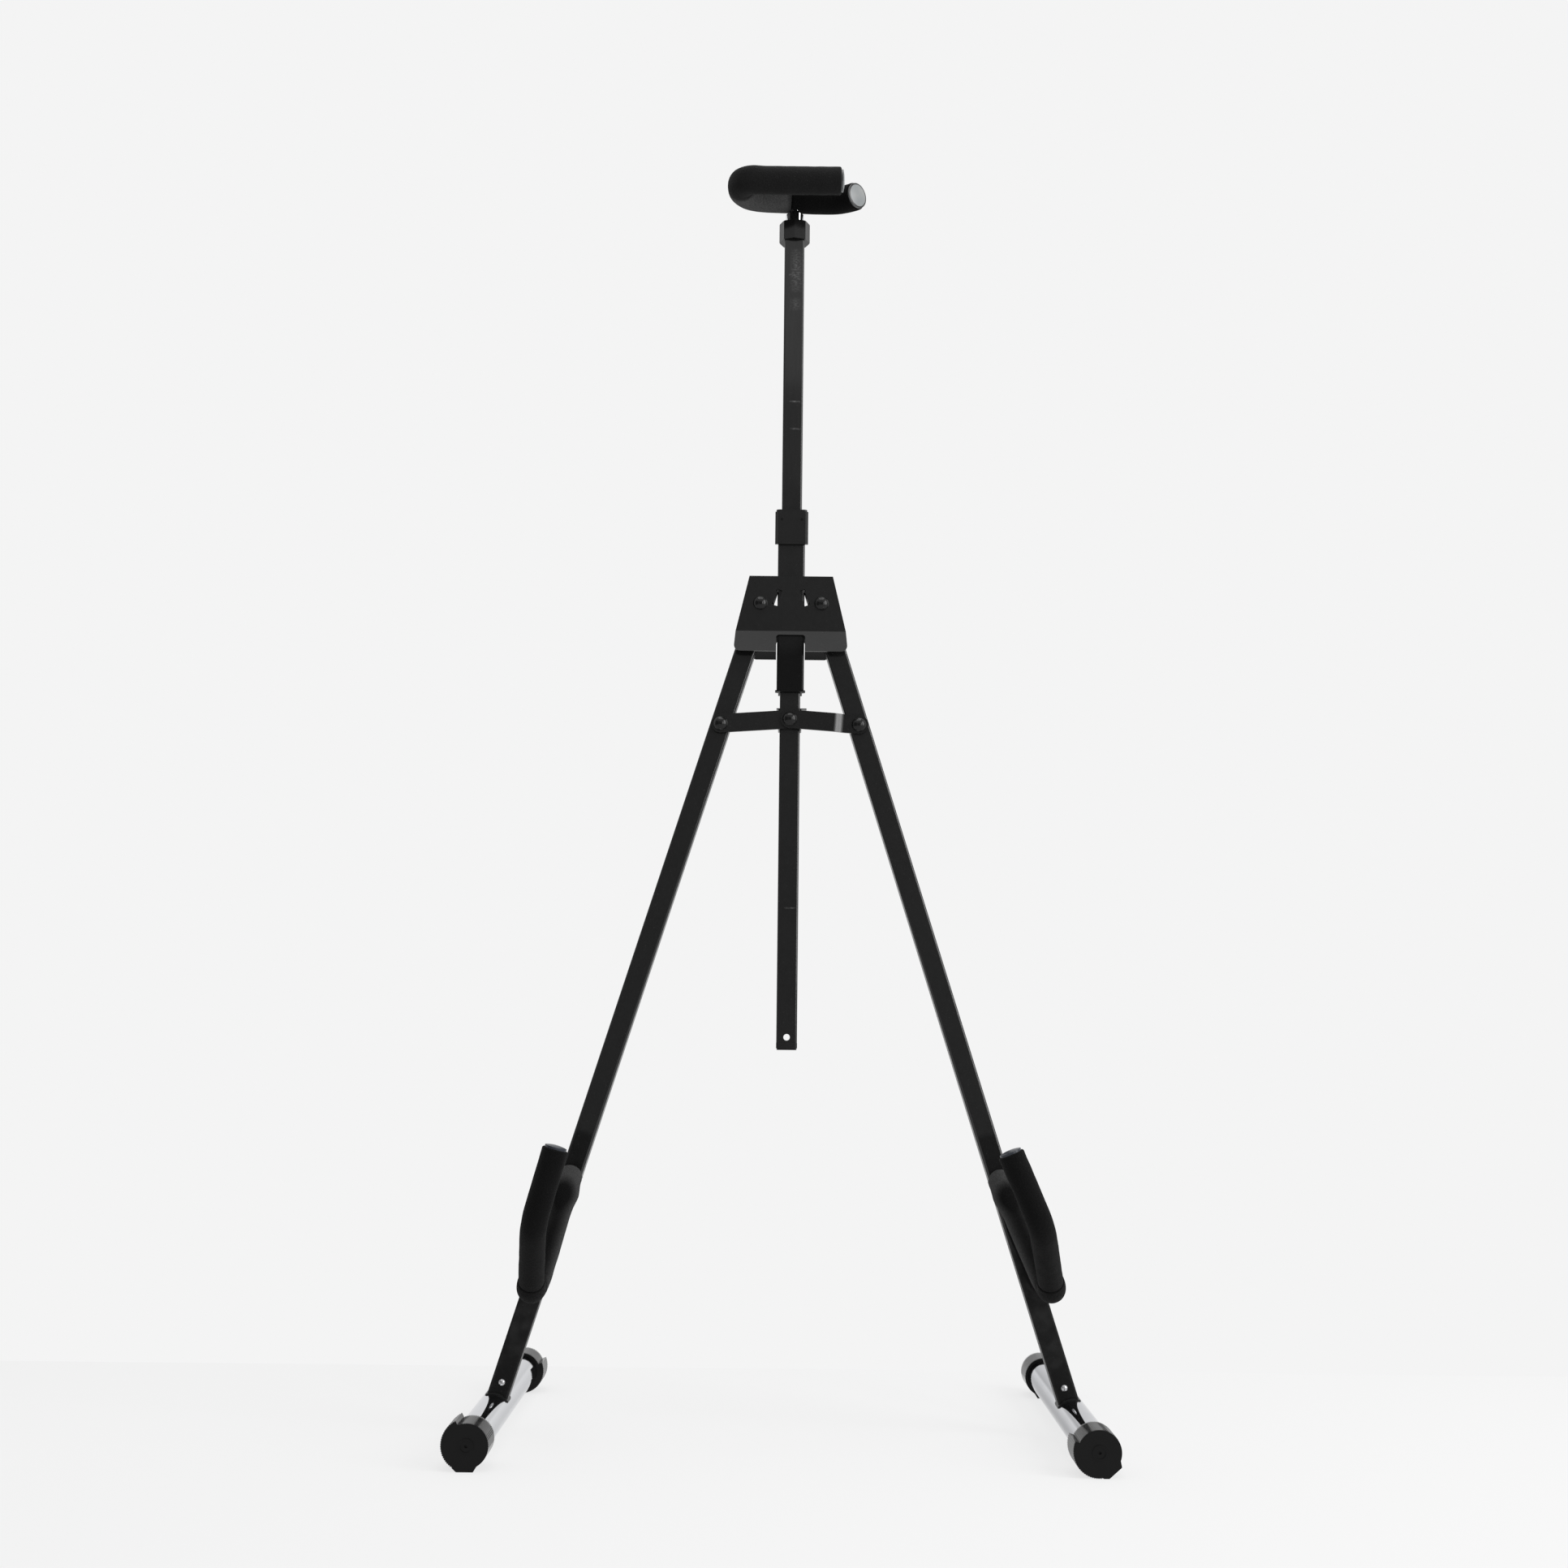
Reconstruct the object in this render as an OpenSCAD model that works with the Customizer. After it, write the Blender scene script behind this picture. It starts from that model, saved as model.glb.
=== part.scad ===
// Folding two-legged stand for a cello, with padded arms and a padded neck yoke.
// Sizes are in millimetres. The floor is z = 0 and the padded arms reach towards -Y.

/* [Stance] */
// Length of a leg from its top pivot to the foot tube's axis
leg_len = 770; // [600:1:900]
// Angle of each leg from upright when the stand is open, in degrees
leg_angle = 17.37; // [12:0.01:22]
// Distance of each leg pivot from the mast's axis
pivot_x = 28.65; // [26:0.05:36]
// Height of the foot tube's axis over the floor, set by the cap's flat
foot_h = 20.5; // [19.5:0.1:21.5]
// Reach of each foot in front of the mast
foot_front = 153; // [120:1:220]
// Reach of each foot behind the mast
foot_rear = 218; // [150:1:280]

/* [Square tubes] */
// Width of the legs and of the inner mast tube
tube_w = 19.05; // [16:0.05:20]
// Wall of the legs and of the inner mast tube
tube_wall = 1.5; // [1:0.1:2.5]
// Outer corner radius of every square tube
tube_r = 2; // [1:0.1:3]
// Width of the outer mast tube
outer_w = 25.4; // [25:0.05:28]
// Wall of the outer mast tube
outer_wall = 1.5; // [1:0.1:2]
// Length of the outer mast tube
outer_len = 163; // [150:1:190]
// Height of the outer tube's top over the leg pivots
outer_rise = 82.5; // [70:0.5:95]
// Length of the inner mast tube
mast_len = 765; // [650:1:820]
// Length of inner tube that shows above the height collar
mast_show = 267.5; // [240:0.5:300]
// Diameter of the stop hole near the mast's lower end
stop_hole_d = 6; // [4:0.1:7]

/* [Head bracket] */
// Thickness of the bracket's sheet
plate_t = 2; // [1.5:0.1:3]
// Width of both plates along the top edge
plate_top_w = 78.2; // [74:0.1:90]
// Width of the front plate along the bottom edge
plate_bottom_w = 106.4; // [95:0.1:120]
// Width of the front plate along the fold
plate_waist_w = 103; // [92:0.1:115]
// Width of the rear plate along the bottom edge
rear_bottom_w = 70; // [62:0.1:80]
// Height of both plates
plate_h = 74.1; // [68:0.1:85]
// Height of the lip below the fold
lip_h = 21.7; // [14:0.1:26]
// Angle of the lip from the plate, in degrees
lip_angle = 20; // [10:1:28]
// Height of the plate above the leg pivots
plate_rise = 25.8; // [22:0.1:32]
// Width of the notch round the outer tube
notch_w = 27.2; // [26.8:0.1:34]
// Height of the notch
notch_h = 16.7; // [10:0.1:19]
// Corner radius of the notch
notch_r = 3; // [2:0.1:5]
// Radius of the front plate's lower corners
front_corner_r = 6; // [4:0.1:9]
// Radius of the rear plate's lower corners
rear_corner_r = 3; // [2:0.1:6]
// Depth of the rear plate's waist below the leg pivots
rear_waist = 14; // [8:0.5:20]
// Width of the slot that each stop tab is bent out of
slot_w = 5; // [4:0.1:7]
// Length of the slot
slot_len = 15.5; // [13:0.1:17]
// Height of the slots' lower ends over the leg pivots, along the leg
slot_low = 2; // [0:0.1:3]
// How much higher the rear plate's slots stand than the front plate's
slot_shift = 5.5; // [0:0.1:6]
// Length of each stop tab
tab_len = 11; // [8:0.1:13]
// Reach of each stop tab behind the plate
tab_reach = 6.5; // [4:0.1:8]
// How much of the stop tab's thickness shows in the slot
tab_show = 1; // [0.5:0.1:2]

/* [Rivets] */
// Diameter of the leg pivot rivets
leg_pin_d = 8; // [6:0.1:9]
// Diameter of the spreader link rivets
link_pin_d = 7; // [5:0.1:8]
// Diameter of the domed rivet heads
dome_d = 13.6; // [12:0.1:15]
// Height of the domed rivet heads
dome_h = 4.2; // [3:0.1:5]

/* [Spreader] */
// Space between the outer tube's bush and the sliding clip
clip_space = 15.3; // [4:0.1:30]
// Height of the middle pivot over the outer link pivots
link_rise = 4.5; // [2:0.1:8]
// Width of the links
link_w = 17.4; // [15:0.1:19]
// Thickness of the links
link_t = 2.2; // [1.6:0.1:3]
// Distance of the joggle in the right link from the middle pivot
joggle_at = 41; // [34:1:44]
// Length of the joggle
joggle_len = 9; // [6:1:12]
// Sheet thickness of the sliding clip
clip_t = 1; // [0.8:0.1:1.4]
// Height of the sliding clip
clip_h = 20; // [19:0.5:26]
// Reach of the clip's stop tab to the right of the mast's axis
clip_tab_x = 15.5; // [12:0.5:22]

/* [Height collar] */
// Width of the collar
collar_w = 31; // [30:0.5:36]
// Height of the collar
collar_h = 33.6; // [28:0.1:44]
// Slope of the collar's lower edge, up towards the back, in degrees
collar_slope = 13; // [0:1:14]
// Thickness of the collar's top
collar_top = 7.5; // [5:0.5:10]
// Diameter of the locking knob
knob_d = 24; // [20:1:30]
// Diameter of the knob's screw
knob_screw_d = 8; // [6:1:10]

/* [Foot tubes and caps] */
// Diameter of the foot tubes
foot_d = 30; // [26:0.1:30.4]
// Wall of the foot tubes
foot_wall = 1.5; // [1:0.1:2]
// Length of a levelling cap
cap_len = 34; // [30:1:44]
// Thickness of the cap's end wall
cap_end = 5; // [3:0.5:7]
// Radius of the cap's low, ribbed step
cap_low_r = 18.4; // [17.6:0.1:19]
// Radius of the cap's high, ribbed step at its far end
cap_high_r = 22.2; // [21.8:0.1:23.5]
// Width of the cap's flat pad
cap_pad_w = 16; // [12:0.5:20]
// Depth of the cap's ribs
rib_depth = 0.55; // [0.3:0.05:0.8]
// Angle from one rib to the next, in degrees
rib_step = 5; // [4:0.5:8]

/* [Padded arms] */
// Distance of each arm's pin from the foot tube's axis, along the leg
arm_up = 215; // [190:1:240]
// Diameter of the bent steel rod of the arms and the yoke
rod_d = 9.5; // [8:0.1:11]
// Outer diameter of the arms' foam
arm_foam_d = 22.5; // [20:0.5:24]
// Distance of the arm's rear limb from the leg's axis
arm_limb_y = 24; // [23:0.5:28]
// Drop of the arm's lowest point below its pin
arm_drop = 99; // [85:1:110]
// Reach of the arm's front limb from the leg's axis
arm_reach = 122; // [115:1:150]
// Height of the arm's tip over its pin
arm_tip = 31; // [10:1:50]
// Slope of the arm's lower limb, in degrees
arm_slope = 40; // [30:0.5:45]
// Angle by which each arm points outwards, in degrees
arm_toe = 5.5; // [0:0.5:8]
// Angle by which the left arm hangs outwards from its leg, in degrees
left_swing = -2; // [-5:0.5:8]
// Angle by which the right arm hangs outwards from its leg, in degrees
right_swing = 6; // [-5:0.5:8]

/* [Neck yoke] */
// Height of the yoke's rod over the top of the inner mast tube
yoke_rise = 44.6; // [43:0.1:60]
// Outer diameter of the yoke's foam
yoke_foam_d = 26; // [22:0.5:28]
// Radius of the yoke's closed bend
yoke_bend_r = 20; // [18:0.5:24]
// Length of the rear prong from the stem to the closed bend
yoke_back_len = 33.8; // [28:0.2:40]
// Length of the front prong from the closed bend
yoke_front_len = 76; // [60:0.2:90]
// Length of the rear prong from the stem to its curl
yoke_curl_at = 28; // [20:0.5:36]
// Radius of the rear prong's curl
yoke_curl_r = 40; // [30:1:50]
// Angle of the rear prong across the stand, in degrees
yoke_skew = 4; // [0:0.5:6]
// Diameter across the corners of the octagonal lock nut
nut_d = 29.3; // [27:0.1:32]
// Height of the lock nut
nut_h = 18.6; // [15:0.1:24]
// Diameter of the stem's spigot
spigot_d = 12; // [10:0.5:13]

/* [Hidden] */
$fn = 64;

// Clearances
gap = 0.3;            // between pieces of different bodies
run = 0.08;           // radial clearance of a pin that turns in a hole
seam = 0.25;          // overlap of a straight run with the bends beside it
hair = 0.02;          // how much thicker than the bends a straight run is
over = 1;             // how far a cut runs past the face that it opens
LEFT = -1;
RIGHT = 1;

// Colours of the finishes
black_enamel = [0.05, 0.05, 0.055];
black_steel = [0.08, 0.08, 0.085];
black_plastic = [0.07, 0.07, 0.07];
black_foam = [0.035, 0.035, 0.035];
bright_chrome = [0.85, 0.86, 0.88];
satin_grey = [0.62, 0.62, 0.62];
slate = [0.16, 0.18, 0.22];
white_nylon = [0.85, 0.85, 0.82];

// Stance: the feet's middle is over the origin, so the mast stands a little in front of it
mast_y = -(foot_rear - foot_front) / 2;
foot_x = pivot_x + leg_len * sin(leg_angle);
pivot_z = foot_h + leg_len * cos(leg_angle);

// Square tubes
tube_bore = tube_w - 2 * tube_wall;
bore_r = max(tube_r - tube_wall, 0.5);
half_tube = tube_w / 2;
half_outer = outer_w / 2;
outer_bore = outer_w - 2 * outer_wall;
outer_top = pivot_z + outer_rise;
outer_bottom = outer_top - outer_len;
collar_z = outer_top + collar_top - collar_h;
mast_top = outer_top + collar_top + mast_show;
mast_bottom = mast_top - mast_len;
yoke_z = mast_top + yoke_rise;

// Head bracket
plate_top = pivot_z + plate_rise;
fold_z = plate_top - plate_h + lip_h;
plate_bottom = fold_z - lip_h * cos(lip_angle);
washer_t = half_outer - half_tube - gap;
washer_d = 17;

// Spreader: the clip hangs below the outer tube's bush, and the links are layers in front
// of the legs
bush_flange_t = 3.2;
clip_lip = 1.8;
link_r = link_w / 2;
mid_z = outer_bottom - bush_flange_t - clip_space - clip_lip - link_r;
link_z = mid_z - link_rise;
link_on_leg = (pivot_z - link_z) / cos(leg_angle);
leg_spacer_t = gap + clip_t;
link_back = half_tube + leg_spacer_t + gap;
link_front = link_back + link_t;
joggle_dy = link_t + gap;
link_x = pivot_x + link_on_leg * sin(leg_angle);
link_len = norm([link_x, link_rise]);
link_tilt = atan2(link_rise, link_x);

// Shared shapes

// A square with round corners, centred
module soft_square(w, r) {
    square([w, w - 2 * r], center = true);
    square([w - 2 * r, w], center = true);
    for (x = [-1, 1], y = [-1, 1])
        translate([x * (w / 2 - r), y * (w / 2 - r)]) circle(r = r);
}

// A square tube that stands on z = 0
module square_tube(w, wall, r, len) {
    linear_extrude(len) difference() {
        soft_square(w, r);
        soft_square(w - 2 * wall, bore_r);
    }
}

// Turns +Z to -Y, so that a profile drawn upright faces the viewer
module face_front(y = 0) {
    translate([0, y, 0]) rotate([90, 0, 0]) children();
}

// A dome that stands on z = 0
module dome(d, h) {
    ball_r = (pow(d / 2, 2) + pow(h, 2)) / (2 * h);
    intersection() {
        translate([0, 0, h - ball_r]) sphere(r = ball_r, $fn = 96);
        cylinder(h = h + over, d = d);
    }
}

// A domed rivet along +Z: its shank starts at z = 0 and its head stands on z = len
module domed_rivet(shank_d, len) {
    cylinder(h = len, d = shank_d);
    translate([0, 0, len]) dome(dome_d, dome_h);
}

// A flat ring on z = 0
module ring(outer_d, inner_d, h) {
    difference() {
        cylinder(h = h, d = outer_d);
        translate([0, 0, -over]) cylinder(h = h + 2 * over, d = inner_d);
    }
}

// A straight run of round bar along +Z, with what follows at its end. It is a hair thicker
// than the bends and runs a little way into them, so that the run is one solid.
module run_straight(len, d) {
    tail = $children > 0 ? seam : 0;
    translate([0, 0, -seam]) cylinder(h = len + seam + tail, d = d + 2 * hair);
    translate([0, 0, len]) children();
}

// A bend of round bar from +Z towards +X, with what follows at its end
module run_bend(r, angle, d) {
    translate([r, 0, 0]) rotate([90, 0, 180])
        rotate_extrude(angle = angle) translate([r, 0]) circle(d = d, $fn = 48);
    translate([r - r * cos(angle), 0, r * sin(angle)]) rotate([0, angle, 0]) children();
}

// Places

module at_mast() {
    translate([0, mast_y, 0]) children();
}

// The leg's own frame: its pivot is the origin and the leg runs along -Z
module at_leg(side) {
    translate([side * pivot_x, mast_y, pivot_z]) rotate([0, -side * leg_angle, 0]) children();
}

module at_foot(side) {
    translate([side * foot_x, mast_y, foot_h]) children();
}

// Head bracket

// Half of a plate's outline, down its right side: top corner, waist and a round lower corner
function plate_side(waist_w, waist_z, bottom_w, corner_r) =
    let (lean = atan((bottom_w - waist_w) / 2 / (waist_z - plate_bottom)),
        cx = bottom_w / 2 - corner_r * (tan(lean) + 1 / cos(lean)), n = 8)
    concat([[plate_top_w / 2, plate_top], [waist_w / 2, waist_z]],
        [for (i = [0:n]) let (a = lean - i * (90 + lean) / n)
            [cx + corner_r * cos(a), plate_bottom + corner_r + corner_r * sin(a)]]);

module plate_outline(waist_w, waist_z, bottom_w, corner_r) {
    side = plate_side(waist_w, waist_z, bottom_w, corner_r);
    n = len(side);
    polygon(concat(side, [for (i = [1:n]) [-side[n - i][0], side[n - i][1]]]));
}

// The notch round the outer tube, open at the bottom edge
module notch() {
    inner_w = notch_w - 2 * notch_r;
    translate([-notch_w / 2, plate_bottom - over]) square([notch_w, notch_h + over - notch_r]);
    translate([-inner_w / 2, plate_bottom - over]) square([inner_w, notch_h + over]);
    for (x = [-1, 1]) translate([x * inner_w / 2, plate_bottom + notch_h - notch_r])
        circle(r = notch_r);
}

// The slot beside the leg, parallel to it, in the leg's own frame
module slot_area(low) {
    translate([tab_show - half_tube - gap - plate_t - slot_w, low]) square([slot_w, slot_len]);
}

// The sheet seen from the side, flat down to the fold and then turned forwards
module plate_profile() {
    back = -half_outer;
    front = -half_outer - plate_t;
    run_on = lip_h + 2 * plate_t;
    polygon([[back, plate_top], [front, plate_top], [front, fold_z],
        [front - run_on * sin(lip_angle), fold_z - run_on * cos(lip_angle)],
        [front - run_on * sin(lip_angle) + plate_t * cos(lip_angle),
            fold_z - run_on * cos(lip_angle) - plate_t * sin(lip_angle)],
        [back, fold_z - plate_t * tan(lip_angle / 2)]]);
}

// One plate with its face at y = -half_outer, seen from the front
module bracket_plate(waist_w, waist_z, bottom_w, corner_r, low) {
    difference() {
        intersection() {
            translate([-plate_bottom_w, 0, 0]) rotate([90, 0, 90])
                linear_extrude(2 * plate_bottom_w) plate_profile();
            face_front() linear_extrude(half_outer + lip_h + 4 * plate_t) difference() {
                plate_outline(waist_w, waist_z, bottom_w, corner_r);
                notch();
            }
        }
        // rivet holes
        for (x = [-1, 1]) translate([x * pivot_x, -half_outer + over, pivot_z])
            face_front() cylinder(h = plate_t + 2 * over, d = leg_pin_d);
        // slots
        for (side = [LEFT, RIGHT])
            translate([side * pivot_x, -half_outer + over, pivot_z]) rotate([0, -side * leg_angle, 0])
                face_front() linear_extrude(plate_t + 2 * over)
                    mirror([side > 0 ? 0 : 1, 0]) slot_area(low);
    }
}

// Stop tabs of the front plate, bent in from the slots' outer edges
module stop_tabs() {
    for (side = [LEFT, RIGHT])
        translate([side * pivot_x, -half_outer - plate_t, pivot_z]) rotate([0, -side * leg_angle, 0])
            translate([side * (-half_tube - gap - plate_t / 2), (tab_reach + plate_t) / 2,
                slot_low + slot_len / 2])
                cube([plate_t, tab_reach + plate_t, tab_len], center = true);
}

module front_plate() {
    color(black_enamel) at_mast() {
        bracket_plate(plate_waist_w, fold_z, plate_bottom_w, front_corner_r, slot_low);
        stop_tabs();
    }
}

module rear_plate() {
    color(black_enamel) at_mast() rotate([0, 0, 180])
        bracket_plate(plate_top_w + 1, pivot_z - rear_waist, rear_bottom_w, rear_corner_r,
            slot_low + slot_shift);
}

module leg_rivet(side) {
    reach = half_outer + plate_t;
    color(black_steel) at_mast() translate([side * pivot_x, 0, pivot_z]) {
        face_front(reach) domed_rivet(leg_pin_d, 2 * reach);
        // the rear head is the flatter one
        translate([0, reach, 0]) rotate([-90, 0, 0]) dome(0.85 * dome_d, 0.75 * dome_h);
    }
}

module pivot_washers() {
    color(white_nylon) at_mast()
        for (x = [-1, 1], y = [-1, 1]) translate([x * pivot_x, y * half_outer, pivot_z])
            rotate([y * 90, 0, 0]) ring(washer_d, leg_pin_d, washer_t);
}

// Mast

module outer_tube() {
    color(black_enamel) at_mast() difference() {
        translate([0, 0, outer_bottom]) square_tube(outer_w, outer_wall, tube_r, outer_len);
        // hole in the rear wall for the knob's screw
        translate([0, half_outer + over, knob_z]) face_front()
            cylinder(h = outer_wall + 2 * over, d = knob_screw_d + 1);
    }
}

module lower_bush() {
    flange_w = outer_w + 2.6;
    flange_depth = 8;
    lip_t = 1.4;
    skirt = 24;
    color(black_plastic) at_mast() translate([0, 0, outer_bottom - bush_flange_t]) difference() {
        union() {
            linear_extrude(lip_t) intersection() {
                soft_square(flange_w, tube_r);
                translate([-flange_w, -flange_w / 2]) square([2 * flange_w, flange_depth]);
            }
            linear_extrude(bush_flange_t) intersection() {
                soft_square(outer_w, tube_r);
                translate([-outer_w, -outer_w / 2]) square([2 * outer_w, flange_depth]);
            }
            linear_extrude(bush_flange_t + skirt) soft_square(outer_bore, bore_r);
        }
        translate([0, 0, -over]) linear_extrude(bush_flange_t + skirt + 2 * over)
            soft_square(tube_w + 2 * gap, tube_r);
    }
}

knob_rise = 17;        // the knob's height over the collar's lower front edge
knob_z = collar_z + knob_rise;
knob_boss_d = 17;
knob_boss_y = collar_w / 2 + 5;

module height_collar() {
    chamfer = 2.6;
    crown = 2;            // height of the rounded crown on top
    h = collar_w / 2;
    dimple_x = 9.4;
    dimple_drop = 10;
    dimple_d = 2.4;
    dimple_depth = 0.8;
    color(black_plastic) at_mast() difference() {
        union() {
            translate([0, 0, collar_z]) linear_extrude(collar_h - crown)
                polygon([[-h + chamfer, -h], [h - chamfer, -h], [h, -h + chamfer], [h, h - chamfer],
                    [h - chamfer, h], [-h + chamfer, h], [-h, h - chamfer], [-h, -h + chamfer]]);
            translate([0, 0, collar_z + collar_h - crown]) linear_extrude(crown)
                soft_square(collar_w - crown, chamfer + 0.5);
            translate([0, knob_boss_y, knob_z]) face_front()
                cylinder(h = knob_boss_y - h + 1, d = knob_boss_d);
        }
        // the lower edge rises towards the back
        translate([-collar_w, -h, collar_z]) rotate([collar_slope, 0, 0])
            translate([0, 0, -collar_h]) cube([2 * collar_w, 2 * collar_w, collar_h]);
        // seat of the outer tube
        translate([0, 0, collar_z - over]) linear_extrude(collar_h - collar_top + over)
            soft_square(outer_w, tube_r);
        // passage of the inner tube
        translate([0, 0, collar_z]) linear_extrude(collar_h + over)
            soft_square(tube_w + 2 * gap, tube_r);
        // the knob's screw turns in the boss
        translate([0, knob_boss_y + over, knob_z]) face_front()
            cylinder(h = knob_boss_y - half_outer + 2 * over, d = knob_screw_d + 2 * run);
        // two small locating dimples in the front face
        for (x = [-1, 1])
            translate([x * dimple_x, -h + dimple_depth, collar_z + collar_h - dimple_drop])
                face_front() cylinder(h = dimple_depth + over, d = dimple_d);
    }
}

knob_len = 13;
knob_bore = 9;        // how deep the screw sits in the knob

// The knob stands behind the collar, so its stem axis is Y
module height_knob() {
    hub = 3;
    bevel = 2;
    lobes = 8;
    flute_r = 3.2;
    color(black_plastic) at_mast() translate([0, knob_boss_y + gap, knob_z])
        rotate([-90, 0, 0]) difference() {
            union() {
                cylinder(h = hub, d = knob_screw_d + 2 * hub);
                translate([0, 0, hub]) cylinder(h = knob_len - hub - bevel, d = knob_d);
                translate([0, 0, knob_len - bevel])
                    cylinder(h = bevel, d1 = knob_d, d2 = knob_d - 2 * bevel);
            }
            for (i = [0:lobes - 1]) rotate([0, 0, (i + 0.5) * 360 / lobes])
                translate([(knob_d + flute_r) / 2, 0, -over])
                    cylinder(h = knob_len + 2 * over, r = flute_r);
            translate([0, 0, -over]) cylinder(h = knob_bore + over, d = knob_screw_d);
        }
}

module knob_screw() {
    tip_y = half_tube + gap;
    end_y = knob_boss_y + gap + knob_bore;
    color(bright_chrome) at_mast() translate([0, tip_y, knob_z]) rotate([-90, 0, 0])
        cylinder(h = end_y - tip_y, d = knob_screw_d);
}

stop_hole_up = 5;     // the stop hole's height over the tube's end

module inner_tube() {
    color(black_enamel) at_mast() difference() {
        translate([0, 0, mast_bottom]) square_tube(tube_w, tube_wall, tube_r, mast_len);
        translate([0, 0, mast_bottom + stop_hole_up]) face_front(half_tube + over)
            cylinder(h = tube_w + 2 * over, d = stop_hole_d);
    }
}

module end_plug() {
    flange_t = 6.5;
    foot_t = 1.5;
    skirt = 10;
    skirt_wall = 2;
    color(black_plastic) at_mast() translate([0, 0, mast_bottom - flange_t]) difference() {
        union() {
            linear_extrude(foot_t) soft_square(tube_w - 1, tube_r);
            translate([0, 0, foot_t]) linear_extrude(flange_t - foot_t)
                soft_square(tube_w + 0.2, tube_r);
            linear_extrude(flange_t + skirt) soft_square(tube_bore, bore_r);
        }
        translate([0, 0, flange_t]) linear_extrude(skirt + over)
            soft_square(tube_bore - 2 * skirt_wall, bore_r);
        translate([0, 0, flange_t + stop_hole_up]) face_front(half_tube + over)
            cylinder(h = tube_w + 2 * over, d = stop_hole_d);
    }
}

// Neck yoke

sleeve_gap = 5.4;     // distance of each foam sleeve's end from the stem's axis
rod_join = 4;         // how far before the curl the rod's two runs meet

socket_d = 18;
nut_roof = 2.5;       // wall of the nut over the socket
spigot_len = 28;      // how deep the stem's spigot reaches into the mast
nut_z = mast_top + gap;
nut_top = nut_z + nut_h;
stem_base = nut_top + gap;

module yoke_socket() {
    plug = 32;
    color(black_plastic) at_mast() difference() {
        union() {
            translate([0, 0, mast_top - plug]) linear_extrude(plug) soft_square(tube_bore, bore_r);
            translate([0, 0, mast_top]) cylinder(h = nut_h - nut_roof - 2 * gap, d = socket_d);
        }
        translate([0, 0, mast_top - plug - over])
            cylinder(h = plug + nut_h + 2 * over, d = spigot_d + 2 * run);
    }
}

module lock_nut() {
    nut_chamfer = 0.4;
    color(black_plastic) at_mast() translate([0, 0, nut_z]) difference() {
        intersection() {
            rotate([0, 0, -90]) cylinder(h = nut_h, d = nut_d, $fn = 8);
            // the ends' rims are turned off at 45 degrees
            rotate_extrude() polygon([[0, 0], [nut_d / 2 - nut_chamfer, 0],
                [nut_d / 2 + nut_chamfer, 2 * nut_chamfer],
                [nut_d / 2 + nut_chamfer, nut_h - 2 * nut_chamfer],
                [nut_d / 2 - nut_chamfer, nut_h], [0, nut_h]]);
        }
        translate([0, 0, -over]) cylinder(h = nut_h - nut_roof + over, d = socket_d + 2 * run);
        cylinder(h = nut_h + over, d = spigot_d + 2 * gap);
    }
}

module yoke_stem() {
    flange_d = 17;
    neck_h = 3.3;
    flange_h = yoke_rise - nut_h - 2 * gap - neck_h - yoke_foam_d / 2 - 0.1;
    neck_d = 10.4;
    color(black_steel) at_mast() difference() {
        union() {
            translate([0, 0, mast_top - spigot_len])
                cylinder(h = stem_base - mast_top + spigot_len, d = spigot_d);
            translate([0, 0, stem_base]) cylinder(h = flange_h, d = flange_d);
            translate([0, 0, stem_base + flange_h]) cylinder(h = neck_h, d1 = flange_d, d2 = neck_d);
            translate([0, 0, stem_base + flange_h + neck_h])
                cylinder(h = yoke_z - stem_base - flange_h - neck_h, d = neck_d);
        }
        translate([0, 0, yoke_z]) yoke_run(rod_d, rod_join - yoke_curl_at, 0);
    }
}

// The yoke's route: the rear prong, the closed bend and the front prong. It starts on the
// rear prong, so far from the stem towards the bend as start says.
module yoke_run(d, start, grow) {
    rotate([0, 0, 180 + yoke_skew]) rotate([90, 0, 90])
        translate([0, 0, start]) run_straight(yoke_back_len - start, d)
            run_bend(yoke_bend_r, 180 - yoke_skew, d)
                run_straight(yoke_front_len + grow, d);
}

// The curl at the rear prong's other end, after a straight run that starts so far from the stem
module yoke_curl_run(d, start, grow) {
    rotate([0, 0, yoke_skew]) rotate([90, 0, 90]) rotate([0, 0, 180])
        translate([0, 0, start]) run_straight(yoke_curl_at - start, d)
            run_bend(yoke_curl_r, yoke_skew + 45 + grow, d);
}

module yoke_rod() {
    color(black_steel) at_mast() translate([0, 0, yoke_z]) {
        yoke_run(rod_d, rod_join - yoke_curl_at, 0);
        yoke_curl_run(rod_d - 4 * hair, yoke_curl_at - rod_join - 2, 0);
    }
}

module yoke_front_foam() {
    color(black_foam) at_mast() translate([0, 0, yoke_z]) difference() {
        yoke_run(yoke_foam_d, sleeve_gap, 0);
        yoke_run(rod_d, sleeve_gap - 2, over);
    }
}

module yoke_rear_foam() {
    color(black_foam) at_mast() translate([0, 0, yoke_z]) difference() {
        yoke_curl_run(yoke_foam_d, sleeve_gap, 0);
        yoke_curl_run(rod_d, sleeve_gap - 2, 2);
    }
}

// A foam sleeve's end cap: a shallow dome on a short skirt
module sleeve_cap(d) {
    cylinder(h = 1.8, d = d);
    translate([0, 0, 1.8]) dome(d, 1.4);
}

module yoke_front_cap() {
    bend_end = [-yoke_back_len * cos(yoke_skew) + yoke_bend_r * sin(yoke_skew),
        -yoke_back_len * sin(yoke_skew) - yoke_bend_r * (1 + cos(yoke_skew))];
    color(satin_grey) at_mast()
        translate([bend_end[0] + yoke_front_len, bend_end[1], yoke_z]) rotate([0, 90, 0])
            sleeve_cap(yoke_foam_d - 5);
}

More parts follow.
